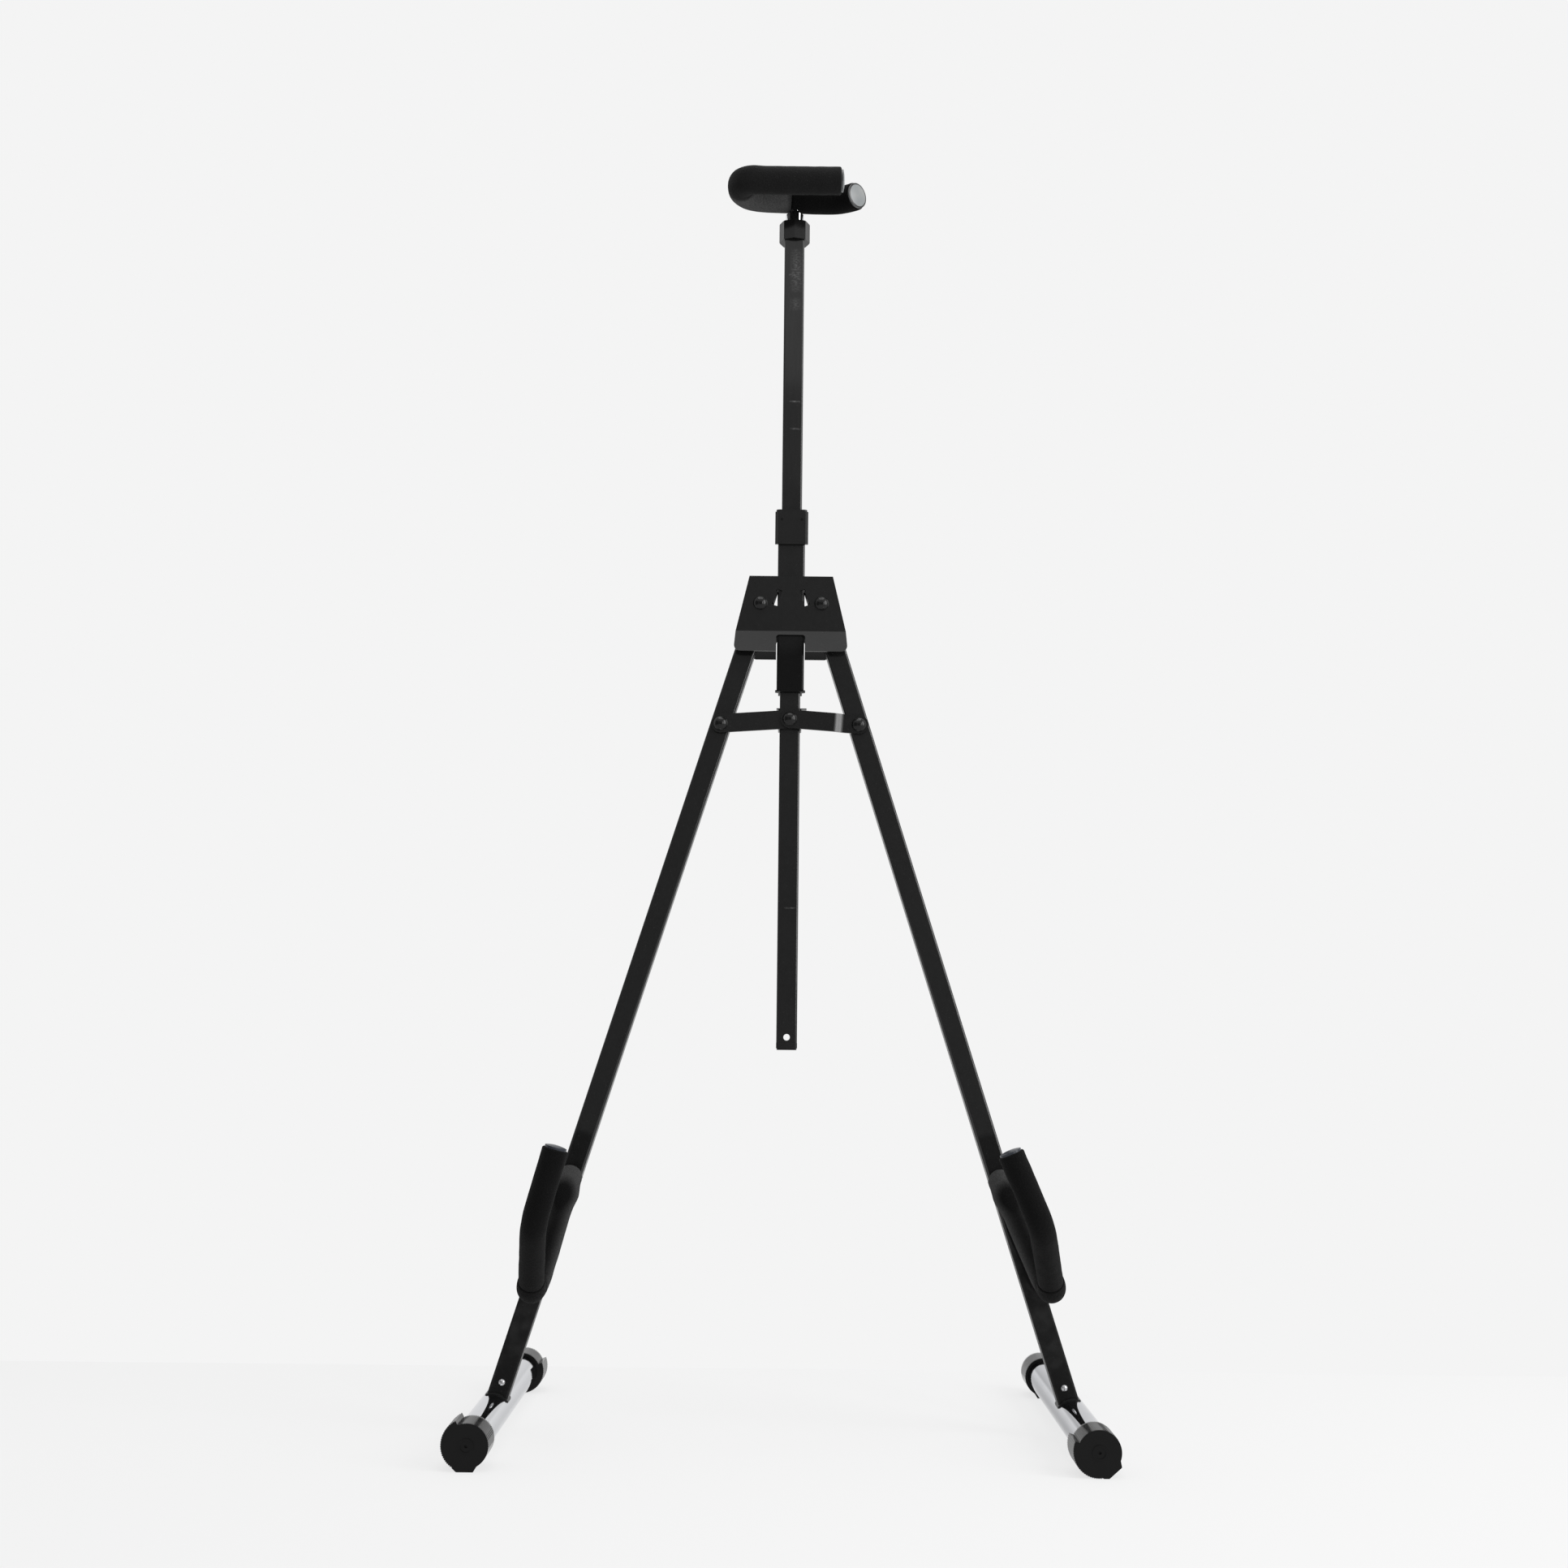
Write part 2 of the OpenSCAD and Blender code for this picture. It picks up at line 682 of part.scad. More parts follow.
module yoke_rear_cap() {
    tip = [yoke_curl_at * cos(yoke_skew) + yoke_curl_r * (sin(yoke_skew) + sin(45)),
        yoke_curl_at * sin(yoke_skew) - yoke_curl_r * (cos(yoke_skew) - cos(45))];
    color(satin_grey) at_mast() translate([tip[0], tip[1], yoke_z])
        rotate([0, 90, -45]) sleeve_cap(yoke_foam_d - 2);
}

// Legs

leg_head = 13;        // how far the leg runs above its pivot
saddle_t = 1.2;       // thickness of the saddle between the leg and the foot tube
screw_up = 26;        // the foot screw's height over the foot tube's axis, along the leg
screw_d = 4;
screw_head_d = 6.4;
screw_inset = 2;      // how far behind the leg's axis plane the screw starts

module leg(side) {
    color(black_enamel) at_leg(side) difference() {
        translate([0, 0, -leg_len]) square_tube(tube_w, tube_wall, tube_r, leg_len + leg_head);
        // the end is coped to sit on the saddle
        translate([0, 0, -leg_len]) rotate([90, 0, 0])
            cylinder(h = 2 * tube_w, r = foot_d / 2 + saddle_t, center = true);
        face_front(half_tube + over) cylinder(h = tube_w + 2 * over, d = leg_pin_d + 2 * run);
        translate([0, 0, -link_on_leg]) face_front(half_tube + over)
            cylinder(h = tube_w + 2 * over, d = link_pin_d);
        translate([0, 0, arm_up - leg_len]) face_front(half_tube + over)
            cylinder(h = tube_w + 2 * over, d = rod_d + 2 * run);
        translate([0, 0, screw_up - leg_len]) face_front(0)
            cylinder(h = tube_w, d = screw_d);
    }
}

module foot_tube(side) {
    front = foot_front - cap_end;
    rear = foot_rear - cap_end;
    color(bright_chrome) at_foot(side) face_front(rear)
        difference() {
            cylinder(h = front + rear, d = foot_d, $fn = 128);
            translate([0, 0, -over]) cylinder(h = front + rear + 2 * over, d = foot_d - 2 * foot_wall);
        }
}

// The saddle is a curved flange on the foot tube with a plug that fills the leg's end
module foot_saddle(side) {
    flange = tube_w + 2.6;
    plug = 34;
    color(black_plastic) at_leg(side) translate([0, 0, -leg_len]) difference() {
        union() {
            intersection() {
                rotate([90, 0, 0]) cylinder(h = flange, r = foot_d / 2 + saddle_t, center = true);
                linear_extrude(foot_d) soft_square(flange, tube_r + 1);
            }
            linear_extrude(plug) soft_square(tube_bore, bore_r);
        }
        rotate([90, 0, 0]) cylinder(h = 2 * flange, d = foot_d, center = true, $fn = 128);
        translate([0, 0, screw_up]) face_front(0) cylinder(h = tube_w, d = screw_d);
    }
}

module foot_screw(side) {
    color(bright_chrome) at_leg(side) translate([0, 0, screw_up - leg_len]) {
        face_front(-screw_inset) cylinder(h = half_tube - screw_inset, d = screw_d);
        face_front(-half_tube) dome(screw_head_d, screw_head_d / 3);
    }
}

module link_rivet(side) {
    color(black_steel) at_leg(side) translate([0, 0, -link_on_leg])
        face_front(half_tube) domed_rivet(link_pin_d, half_tube + link_front + gap);
}

module link_washer(side) {
    color(white_nylon) at_leg(side) translate([0, 0, -link_on_leg])
        face_front(-half_tube) ring(13, link_pin_d, leg_spacer_t);
}

// Spreader links

// A link's outline from its middle pivot at the origin to its outer pivot along +X
module link_outline(from, to) {
    if (from == 0) circle(r = link_r);
    translate([from, -link_r]) square([to - from, link_w]);
    if (to == link_len) translate([link_len, 0]) circle(r = link_r);
}

module left_link() {
    color(black_enamel) at_mast() translate([0, 0, mid_z]) rotate([0, -link_tilt, 0])
        face_front(-link_back) mirror([1, 0, 0]) difference() {
            linear_extrude(link_t) link_outline(0, link_len);
            for (x = [0, link_len]) translate([x, 0, -over])
                cylinder(h = link_t + 2 * over, d = link_pin_d + 2 * run);
        }
}

module right_link() {
    step_end = joggle_at + joggle_len;
    color(black_enamel) at_mast() translate([0, 0, mid_z]) rotate([0, link_tilt, 0])
        face_front(-link_back) difference() {
            union() {
                translate([0, 0, joggle_dy]) linear_extrude(link_t) link_outline(0, joggle_at);
                linear_extrude(link_t) link_outline(step_end, link_len);
                // the joggle steps back to the leg
                translate([0, link_r, 0]) rotate([90, 0, 0]) linear_extrude(link_w)
                    polygon([[joggle_at, joggle_dy], [joggle_at, joggle_dy + link_t],
                        [step_end, link_t], [step_end, 0]]);
            }
            translate([link_len, 0, -over]) cylinder(h = link_t + 2 * over, d = link_pin_d + 2 * run);
            translate([0, 0, joggle_dy - over]) cylinder(h = link_t + 2 * over, d = link_pin_d);
        }
}

module centre_rivet() {
    color(black_steel) at_mast() translate([0, 0, mid_z])
        face_front(-link_back - joggle_dy) domed_rivet(link_pin_d, link_t);
}

// The clip slides on the mast behind the links, with a finger flange round its top edge
module spreader_clip() {
    inner = half_tube + gap;
    outer = inner + clip_t;
    clip_z = mid_z + link_r + clip_lip - clip_h;
    color(black_steel) at_mast() difference() {
        union() {
            translate([0, 0, clip_z]) linear_extrude(clip_h) soft_square(2 * outer, tube_r + clip_t);
            translate([3 - clip_tab_x, -outer, clip_z + clip_h - clip_t])
                cube([2 * clip_tab_x - 3, outer + half_tube / 2, clip_t]);
        }
        translate([0, 0, clip_z - over]) linear_extrude(clip_h + 2 * over)
            soft_square(2 * inner, tube_r);
        translate([-inner + 4, 0, clip_z - over]) cube([2 * inner - 8, outer + over, clip_h + 2 * over]);
        translate([0, 0, mid_z]) face_front() cylinder(h = outer + over, d = link_pin_d);
    }
}

// Padded arms

arm_elbow_r = 13;
arm_bend_r = 15;
arm_knee_r = 22;
arm_z = arm_up * cos(leg_angle) + foot_h;
arm_x = foot_x - arm_up * sin(leg_angle);
nut_face = half_tube + gap;
arm_washer_t = 1.5;
arm_thread = 12;         // how far the rod runs past the leg's gap to take washer and nut
arm_low_v = arm_limb_y + arm_bend_r + arm_bend_r * sin(arm_slope);
arm_low_u = arm_drop - arm_bend_r + arm_bend_r * cos(arm_slope);
knee_cut = arm_knee_r * tan((90 - arm_slope) / 2);
lower_len = (arm_reach - arm_low_v) / cos(arm_slope) - knee_cut;
knee_u = arm_low_u - (arm_reach - arm_low_v) * tan(arm_slope);
front_len = knee_u + arm_tip - knee_cut;

// The arm's route: from behind the leg through it, down, forwards, and up to the tip.
// start is where it begins along the pin, and grow lengthens both ends for a cut.
module arm_run(side, d, start, grow) {
    translate([0, start + grow, 0]) rotate([90, 0, 0]) rotate([0, 0, -90])
        run_straight(start + grow + arm_limb_y - arm_elbow_r, d)
            run_bend(arm_elbow_r, 90, d)
                run_straight(arm_drop - arm_bend_r - arm_elbow_r, d)
                    rotate([0, 0, 180 - side * arm_toe])
                        run_bend(arm_bend_r, 180 - (90 - arm_slope), d)
                            run_straight(lower_len, d)
                                run_bend(arm_knee_r, 90 - arm_slope, d)
                                    run_straight(front_len + grow, d);
}

// The arm's frame: its pin's centre in the leg, hanging along the leg
module at_arm(side, swing) {
    translate([side * arm_x, mast_y, arm_z]) rotate([0, -side * (leg_angle + swing), 0]) children();
}

module arm_rod(side, swing) {
    color(black_steel) at_arm(side, swing) arm_run(side, rod_d, nut_face + arm_thread, 0);
}

foam_start = -(nut_face + 0.5);

module arm_foam(side, swing) {
    color(black_foam) at_arm(side, swing) difference() {
        arm_run(side, arm_foam_d, foam_start, 0);
        arm_run(side, rod_d, foam_start, over);
    }
}

// Where the arm's tip is, seen from its pin
module at_arm_tip(side) {
    translate([side * (arm_reach - arm_limb_y) * sin(arm_toe),
        -arm_limb_y - (arm_reach - arm_limb_y) * cos(arm_toe), arm_tip]) children();
}

arm_cap_inset = 1.75;

module arm_cap(side, swing) {
    color(slate) at_arm(side, swing) at_arm_tip(side) sleeve_cap(arm_foam_d - 2 * arm_cap_inset);
}

module arm_nut(side, swing) {
    nut_t = 7;
    nut_corner_d = 18.5;
    color(black_steel) at_arm(side, swing) translate([0, nut_face + arm_washer_t + nut_t, 0])
        face_front()
        difference() {
            cylinder(h = nut_t, d = nut_corner_d, $fn = 6);
            translate([0, 0, -over]) cylinder(h = nut_t + 2 * over, d = rod_d + 2 * hair);
        }
}

module arm_washer(side, swing) {
    color(black_steel) at_arm(side, swing) translate([0, nut_face + arm_washer_t, 0]) face_front()
        ring(18, rod_d + 2 * hair, arm_washer_t);
}

// Levelling caps

// Angles of the cam's steps, counter-clockwise from +X as the cap's face is seen
big_step = 115;
small_step = -5;
pad_end = -61;
notch_at = -124;
second_flat = 41;
pad_share = 0.62;     // share of the pad's width that lies left of the axis
rim_play = 0.02;      // how far the last rib stays inside the pad's circle

// A run of ribs: four points for each rib, between the radii at its two ends
function ribbed(a0, a1, r0, r1) =
    let (n = floor((a1 - a0) / rib_step), step = (a1 - a0) / n)
    [for (i = [0:n - 1], k = [0:3])
        let (t = (i + k / 4) / n, r = r0 + (r1 - r0) * t - (k < 2 ? 0 : rib_depth))
        [r * cos(a0 + t * (a1 - a0)), r * sin(a0 + t * (a1 - a0))]];

function smooth(a0, a1, r, n) =
    [for (i = [0:n]) let (a = a0 + (a1 - a0) * i / n) [r * cos(a), r * sin(a)]];

// The pad has two flats, so the cap can stand on either with the foot at the same height
module cam_outline() {
    difference() {
        cam_points();
        rotate(-second_flat) translate([-cap_high_r, -foot_h - cap_high_r])
            square([2 * cap_high_r, cap_high_r]);
    }
}

module cam_points() {
    polygon(concat(
        smooth(pad_end, small_step, cap_low_r - 0.2, 14),
        ribbed(small_step, big_step, cap_low_r, cap_low_r),
        ribbed(big_step, 360 + notch_at, cap_high_r, foot_h - rim_play),
        [[-pad_share * cap_pad_w, -foot_h], [(1 - pad_share) * cap_pad_w, -foot_h]]));
}

module levelling_cap(side, end, turn) {
    face_y = end < 0 ? -foot_front : foot_rear;
    face_back = 1.2;      // how far the stepped body stays behind the cap's face
    ring_h = 0.7;
    hub_d = 12.5;
    dimple_d = 2.6;
    color(black_plastic) at_foot(side) translate([0, face_y, 0]) rotate([0, 0, end < 0 ? 0 : 180])
        rotate([0, -turn, 0]) difference() {
            union() {
                face_front(cap_len) linear_extrude(cap_len - 1) cam_outline();
                face_front(face_back) linear_extrude(face_back - ring_h) scale(0.97) cam_outline();
                face_front(ring_h + 0.2) ring(hub_d, 0.77 * hub_d, ring_h + 0.2);
            }
            face_front(cap_len + over) cylinder(h = cap_len - cap_end + over,
                d = foot_d + 2 * run, $fn = 128);
            face_front(cap_end / 2) cylinder(h = cap_end, d = dimple_d);
        }
}

front_plate();
rear_plate();
outer_tube();
lower_bush();
height_collar();
leg_rivet(LEFT);  // left_leg_rivet
leg_rivet(RIGHT);  // right_leg_rivet
pivot_washers();
height_knob();
knob_screw();
inner_tube();
end_plug();
yoke_socket();
lock_nut();
yoke_stem();
yoke_rod();
yoke_front_foam();
yoke_rear_foam();
yoke_front_cap();
yoke_rear_cap();
leg(LEFT);  // left_leg
foot_tube(LEFT);  // left_foot_tube
foot_saddle(LEFT);  // left_foot_saddle
foot_screw(LEFT);  // left_foot_screw
link_rivet(LEFT);  // left_link_rivet
link_washer(LEFT);  // left_link_washer
leg(RIGHT);  // right_leg
foot_tube(RIGHT);  // right_foot_tube
foot_saddle(RIGHT);  // right_foot_saddle
foot_screw(RIGHT);  // right_foot_screw
link_rivet(RIGHT);  // right_link_rivet
link_washer(RIGHT);  // right_link_washer
left_link();
right_link();
centre_rivet();
spreader_clip();
arm_rod(LEFT, left_swing);  // left_arm_rod
arm_foam(LEFT, left_swing);  // left_arm_foam
arm_cap(LEFT, left_swing);  // left_arm_cap
arm_nut(LEFT, left_swing);  // left_arm_nut
arm_washer(LEFT, left_swing);  // left_arm_washer
arm_rod(RIGHT, right_swing);  // right_arm_rod
arm_foam(RIGHT, right_swing);  // right_arm_foam
arm_cap(RIGHT, right_swing);  // right_arm_cap
arm_nut(RIGHT, right_swing);  // right_arm_nut
arm_washer(RIGHT, right_swing);  // right_arm_washer
levelling_cap(LEFT, -1, 0);  // left_front_cap
levelling_cap(LEFT, 1, second_flat);  // left_rear_cap
levelling_cap(RIGHT, -1, second_flat);  // right_front_cap
levelling_cap(RIGHT, 1, 0);  // right_rear_cap
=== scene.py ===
# %% [markdown]
# # A folding cello stand
# The metal frame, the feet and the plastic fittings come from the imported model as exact
# solids. This script gives each of them its finish, and builds the foam sleeves, whose soft
# skin and rounded ends a plain solid can't show. Everything is in metres.

# %% Load the frame
import math

import bmesh
import bpy
from mathutils import Matrix, Vector
from mathutils import noise as space_noise


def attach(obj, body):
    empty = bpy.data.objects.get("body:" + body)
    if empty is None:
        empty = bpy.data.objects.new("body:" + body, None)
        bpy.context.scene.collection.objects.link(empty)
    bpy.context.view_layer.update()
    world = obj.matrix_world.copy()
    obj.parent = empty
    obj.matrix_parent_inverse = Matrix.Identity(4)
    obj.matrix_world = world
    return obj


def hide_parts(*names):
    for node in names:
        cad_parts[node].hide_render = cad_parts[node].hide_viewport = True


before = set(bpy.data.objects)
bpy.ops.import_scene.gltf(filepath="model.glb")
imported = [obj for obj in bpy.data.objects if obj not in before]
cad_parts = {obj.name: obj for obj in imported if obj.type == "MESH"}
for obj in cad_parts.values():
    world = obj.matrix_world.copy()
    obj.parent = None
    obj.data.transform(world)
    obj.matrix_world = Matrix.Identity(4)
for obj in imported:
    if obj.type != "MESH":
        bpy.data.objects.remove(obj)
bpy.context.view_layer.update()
scene = bpy.context.scene

# %% [markdown]
# ## The camera
# The picture was taken from just under knee height, about 1.8 m in front of the stand,
# looking slightly up. The position and the three turns below were fitted to the edges of the
# tubes, so the stand fills the same part of the frame. Turning a camera by yaw, pitch and roll
# in that order keeps each number easy to read.

# %% Place the camera
image_width = 1932
focal_px = 2350
sensor_mm = 36
camera_at = Vector((-0.0053, -1.7956, 0.3654))
yaw, pitch, roll = -0.0003, 0.1249, -0.0104

aim = (Matrix.Rotation(yaw, 3, "Z") @ Matrix.Rotation(pitch, 3, "X")
       @ Matrix.Rotation(roll, 3, "Y"))
right, forward, up = aim.col[0], aim.col[1], aim.col[2]
camera_data = bpy.data.cameras.new("camera")
camera_data.sensor_width = sensor_mm
camera_data.lens = focal_px / image_width * sensor_mm
camera = bpy.data.objects.new("camera", camera_data)
scene.collection.objects.link(camera)
camera.matrix_world = Matrix.Translation(camera_at) @ Matrix((
    (right.x, up.x, -forward.x), (right.y, up.y, -forward.y),
    (right.z, up.z, -forward.z))).to_4x4()
scene.camera = camera
print("lens", round(camera_data.lens, 2), "mm")

# %% [markdown]
# ## Shader maths in Python
# A finish is a small formula: noise here, a mask there, mixed into colour or roughness.
# Written as nodes one by one it is hard to read, so one class wraps a socket and lets plain
# operators add the Math nodes. Masks that rise, fall or peak come up so often that they are
# methods too.

# %% Wrap a socket
class Signal:
    """What one socket of a tree gives, with operators that add Math nodes."""

    def __init__(self, tree, socket):
        self.tree, self.socket = tree, socket

    def _math(self, operation, a, b=0.0):
        return self.tree.node("ShaderNodeMath", {"operation": operation}, {0: a, 1: b})

    def __add__(self, other): return self._math("ADD", self, other)
    def __radd__(self, other): return self._math("ADD", other, self)
    def __sub__(self, other): return self._math("SUBTRACT", self, other)
    def __rsub__(self, other): return self._math("SUBTRACT", other, self)
    def __mul__(self, other): return self._math("MULTIPLY", self, other)
    def __rmul__(self, other): return self._math("MULTIPLY", other, self)
    def __truediv__(self, other): return self._math("DIVIDE", self, other)
    def __pow__(self, other): return self._math("POWER", self, other)
    def at_most(self, other): return self._math("MINIMUM", self, other)
    def at_least(self, other): return self._math("MAXIMUM", self, other)
    def size(self): return self._math("ABSOLUTE", self)
    def cosine(self): return self._math("COSINE", self)

    def share(self):
        """Held between 0 and 1."""
        return self.at_least(0.0).at_most(1.0)

    def rise(self, start, reach):
        """0 up to the start, and 1 from `reach` above it."""
        return ((self - start) / reach).share()

    def fall(self, start, reach):
        """0 down to the start, and 1 from `reach` below it."""
        return ((start - self) / reach).share()

    def near(self, place, reach):
        """1 at the place, and 0 from `reach` away from it."""
        return (1 - (self - place).size() / reach).at_least(0.0)


# %% [markdown]
# ## Node trees
# Materials and the world are both trees of nodes. One method adds any node: it takes the
# node's type, then its settings, then the values or links of its sockets.

# %% Grow a tree
def grey(level):
    return (level, level, level, 1)


class Tree:
    """A node tree, with one method that adds any node to it."""

    def __init__(self, node_tree, output):
        self.nodes, self.links = node_tree.nodes, node_tree.links
        self.output = self.nodes[output]

    def node(self, kind, settings=None, sockets=None, out=0):
        made = self.nodes.new(kind)
        for key, value in (settings or {}).items():
            if key == "stops":
                self._stops(made.color_ramp, value)
            else:
                setattr(made, key, value)
        for key, value in (sockets or {}).items():
            target = made.inputs[key]
            if isinstance(value, Signal):
                self.links.new(value.socket, target)
            else:
                target.default_value = value
        return Signal(self, made.outputs[out])

    @staticmethod
    def _stops(ramp, stops):
        while len(ramp.elements) < len(stops):
            ramp.elements.new(0.5)
        for element, (place, level) in zip(ramp.elements, stops):
            element.position = place
            element.color = grey(level)

    def seen(self):
        """1 for what the camera sees, straight or mirrored or through glass, and else 0."""
        rays = self.node("ShaderNodeLightPath").socket.node.outputs
        straight, mirrored, through = (Signal(self, rays[f"Is {kind} Ray"])
                                       for kind in ("Camera", "Glossy", "Transmission"))
        return (straight + mirrored + through).at_most(1.0)

    def show(self, shader):
        self.links.new(shader.socket, self.output.inputs["Surface"])


# %% [markdown]
# ## A finish and its words
# A finish is a material with Blender's all-round shader. Its words ask where a point is,
# which way the surface faces there, and what noise, ramp or blend to make of that. What is
# the same all over is set once, as a constant on the shader.

# %% Start a finish
class Finish(Tree):
    """One material: its tree, its shader and short ways to feed it."""

    def __init__(self, name, **constants):
        self.material = bpy.data.materials.new(name)
        self.material.use_nodes = True
        super().__init__(self.material.node_tree, "Material Output")
        self.shader = self.nodes["Principled BSDF"]
        for socket, value in constants.items():
            self.shader.inputs[socket.replace("_", " ")].default_value = value

    def place(self):
        """Where a point of the surface is, in metres. The pieces' origins are all at zero."""
        return self.node("ShaderNodeTexCoord", out="Object")

    def _parts(self, vector):
        split = self.node("ShaderNodeSeparateXYZ", {}, {0: vector})
        return [Signal(self, part) for part in split.socket.node.outputs]

    def axes(self):
        """The x, y and z of a point of the surface."""
        return self._parts(self.place())

    def facing(self):
        """The three parts of the surface's own direction, in the part's frame."""
        return self._parts(self.node("ShaderNodeTexCoord", out="Normal"))

    def sideways(self):
        """1 on what looks left, right, up or down, and 0 on what looks front or back."""
        return self.facing()[1].size().fall(0.8, 0.3)

    def noise(self, grain, detail=3.0, rough=0.55, stretch=None):
        """Noise whose features are about `grain` metres across."""
        where = self.place()
        if stretch:
            where = self.node("ShaderNodeVectorMath", {"operation": "MULTIPLY"},
                              {0: where, 1: stretch})
        return self.node("ShaderNodeTexNoise", {},
                         {"Vector": where, "Scale": 1 / grain, "Detail": detail,
                          "Roughness": rough})

    def cells(self, grain):
        return self.node("ShaderNodeTexVoronoi", {"feature": "F1"},
                         {"Vector": self.place(), "Scale": 1 / grain})

    def ramp(self, value, stops):
        """Greys by value: each stop is a place from 0 to 1 and its level."""
        return self.node("ShaderNodeValToRGB", {"stops": stops}, {0: value})

    def blend(self, factor, first, second):
        # a Mix node has its colours at sockets 6 and 7, and their mix at output 2
        return self.node("ShaderNodeMix", {"data_type": "RGBA"},
                         {0: factor, 6: first, 7: second}, out=2)

    def bump(self, height, depth, over=None):
        """Lets the surface rise by `depth` metres where height is 1, over another bump."""
        sockets = {"Height": height, "Distance": depth, "Strength": 1.0}
        if over is not None:
            sockets["Normal"] = over
        return self.node("ShaderNodeBump", {}, sockets)

    def feed(self, **sockets):
        for name, value in sockets.items():
            self.links.new(value.socket, self.shader.inputs[name.replace("_", " ")])


# %% [markdown]
# ## Black enamel
# The square tubes and the sheet parts are sprayed and baked: black, half glossy, with the
# faint waviness of sprayed paint. Handling dulls it in patches and leaves pale rubs. A
# formula on position does this on every tube alike, so no texture has to be unwrapped. The
# gloss is a clear coat over a dull black, and where the coat thins the paint looks worn.

# %% Mix the paint
# the second tone is painted shade, for the tube under the head
paint_tone, shade_tone, bare_tone = 0.005, 0.002, 0.30
scuffed_tones = 0.007, 0.014


def fresh_paint(finish):
    """Clouds and haze in the gloss, specks of dust, and the two tones of the black."""
    cloud = finish.noise(0.035, detail=4)
    haze = finish.noise(0.006, detail=5)
    specks = finish.ramp(finish.noise(0.0011, detail=2), [(0.71, 0), (0.80, 1)])
    ground = finish.blend(haze, grey(0.8 * paint_tone), grey(1.5 * paint_tone))
    return cloud, haze, specks * 0.22, ground


def spray(finish, rough, cloud, haze, worn, ground):
    """Feeds the colour and the roughness, and gives the fine waves of the paint's skin."""
    finish.feed(Base_Color=finish.blend(worn.at_most(1.0), ground, grey(bare_tone)),
                Roughness=rough + cloud * 0.12 + haze * 0.05 + worn * 0.25)
    return finish.bump(finish.noise(0.0016, detail=2), depth=0.00002)


def rubbed(finish, worn, rubs, half_width=0.0060):
    """Pale rubs across a tube, each from a height to a height, at an x, with a strength."""
    x, _, z = finish.axes()
    ticks = finish.ramp(finish.noise(0.0014, detail=4, stretch=(0.5, 1, 1)),
                        [(0.42, 0.1), (0.62, 1)])
    for low, high, at_x, strength in rubs:
        band = z.near((low + high) / 2, (high - low) / 2) ** 0.4
        across = x.near(at_x, half_width) ** 0.6
        worn = worn.at_least(band * across * ticks * strength)
    return worn


# %% [markdown]
# ## The enamel of each tube
# Every tube wears in its own places. The mast is scuffed where it slides through the collar,
# the tube under the head is painted darker and duller, as painted shade, and the legs lose
# their shine near the floor.

# %% Spray the tubes
def black_enamel(name, rubs=(), slid_above=None, shaded_below=None, dull_below=None):
    finish = Finish(name, Specular_IOR_Level=0.12, Coat_Roughness=0.07)
    cloud, haze, worn, ground = fresh_paint(finish)
    z = finish.axes()[2]
    gloss = 0.72 + cloud * 0.20
    if rubs:
        worn = rubbed(finish, worn, rubs)
    if slid_above is not None:
        # the part that slides through the collar is scuffed to a duller grey
        slid = z.rise(slid_above, 0.02)
        lines = finish.noise(0.0016, detail=3, stretch=(1, 1, 0.05))
        ground = finish.blend(slid, ground, finish.blend(lines, *map(grey, scuffed_tones)))
        gloss = gloss * (1 - slid * 0.3)
    if shaded_below is not None:
        # painted shade: under the head the tube is painted darker and its coat thinner, for the
        # shade and the dark reflections there
        painted_shade = z.fall(shaded_below, 0.03)
        ground = finish.blend(painted_shade, ground, grey(shade_tone))
        gloss = gloss * (1 - painted_shade * 0.8)
    if dull_below is not None:
        # near the feet, shoes and floor dust have taken the shine off in patches
        patch = finish.ramp(finish.noise(0.014, detail=3), [(0.35, 0.75), (0.60, 1)])
        gloss = gloss * (1 - z.fall(dull_below, 0.05) * patch)
        # the narrow sides of the legs hang in the shade of the stand and stay dark
        gloss = gloss * (1 - finish.sideways() * 0.75)
    peel = spray(finish, 0.30, cloud, haze, worn, ground)
    finish.feed(Coat_Weight=gloss, Normal=peel)
    return finish.material


mast_rubs = (
    (1.060, 1.104, 0.0020, 0.22), (1.0765, 1.0790, 0.0005, 0.35), (1.042, 1.055, 0.0015, 0.14),
    (0.9510, 0.9530, 0.002, 0.35), (0.9245, 0.9262, 0.003, 0.30), (0.4700, 0.4715, 0.002, 0.25))
enamel = black_enamel("black_enamel", dull_below=0.21)
# painted shade: the outer tube is painted darker below the head
tube_enamel = black_enamel("tube_enamel", shaded_below=0.735)
mast_enamel = black_enamel("mast_enamel", slid_above=0.86, rubs=mast_rubs)
print("three enamels, one with", len(mast_rubs), "rubs")

# %% [markdown]
# ## The joggled link
# One link of the spreader is pressed with a small step, so that the two links overlap at
# the centre rivet and both still lie flat on their legs. The exact solid has a straight slope
# for it. A bump bends the shader's own highlight but not that of a clear coat, so this enamel
# does without the coat, and its bump turns the slope into the soft S that a press makes.

# %% Spray the joggled link
def middle(name):
    """The middle of a piece's box, which lies on the axis of a turned piece."""
    piece = bpy.data.objects[name]
    return sum((piece.matrix_world @ Vector(c) for c in piece.bound_box), Vector()) / 8


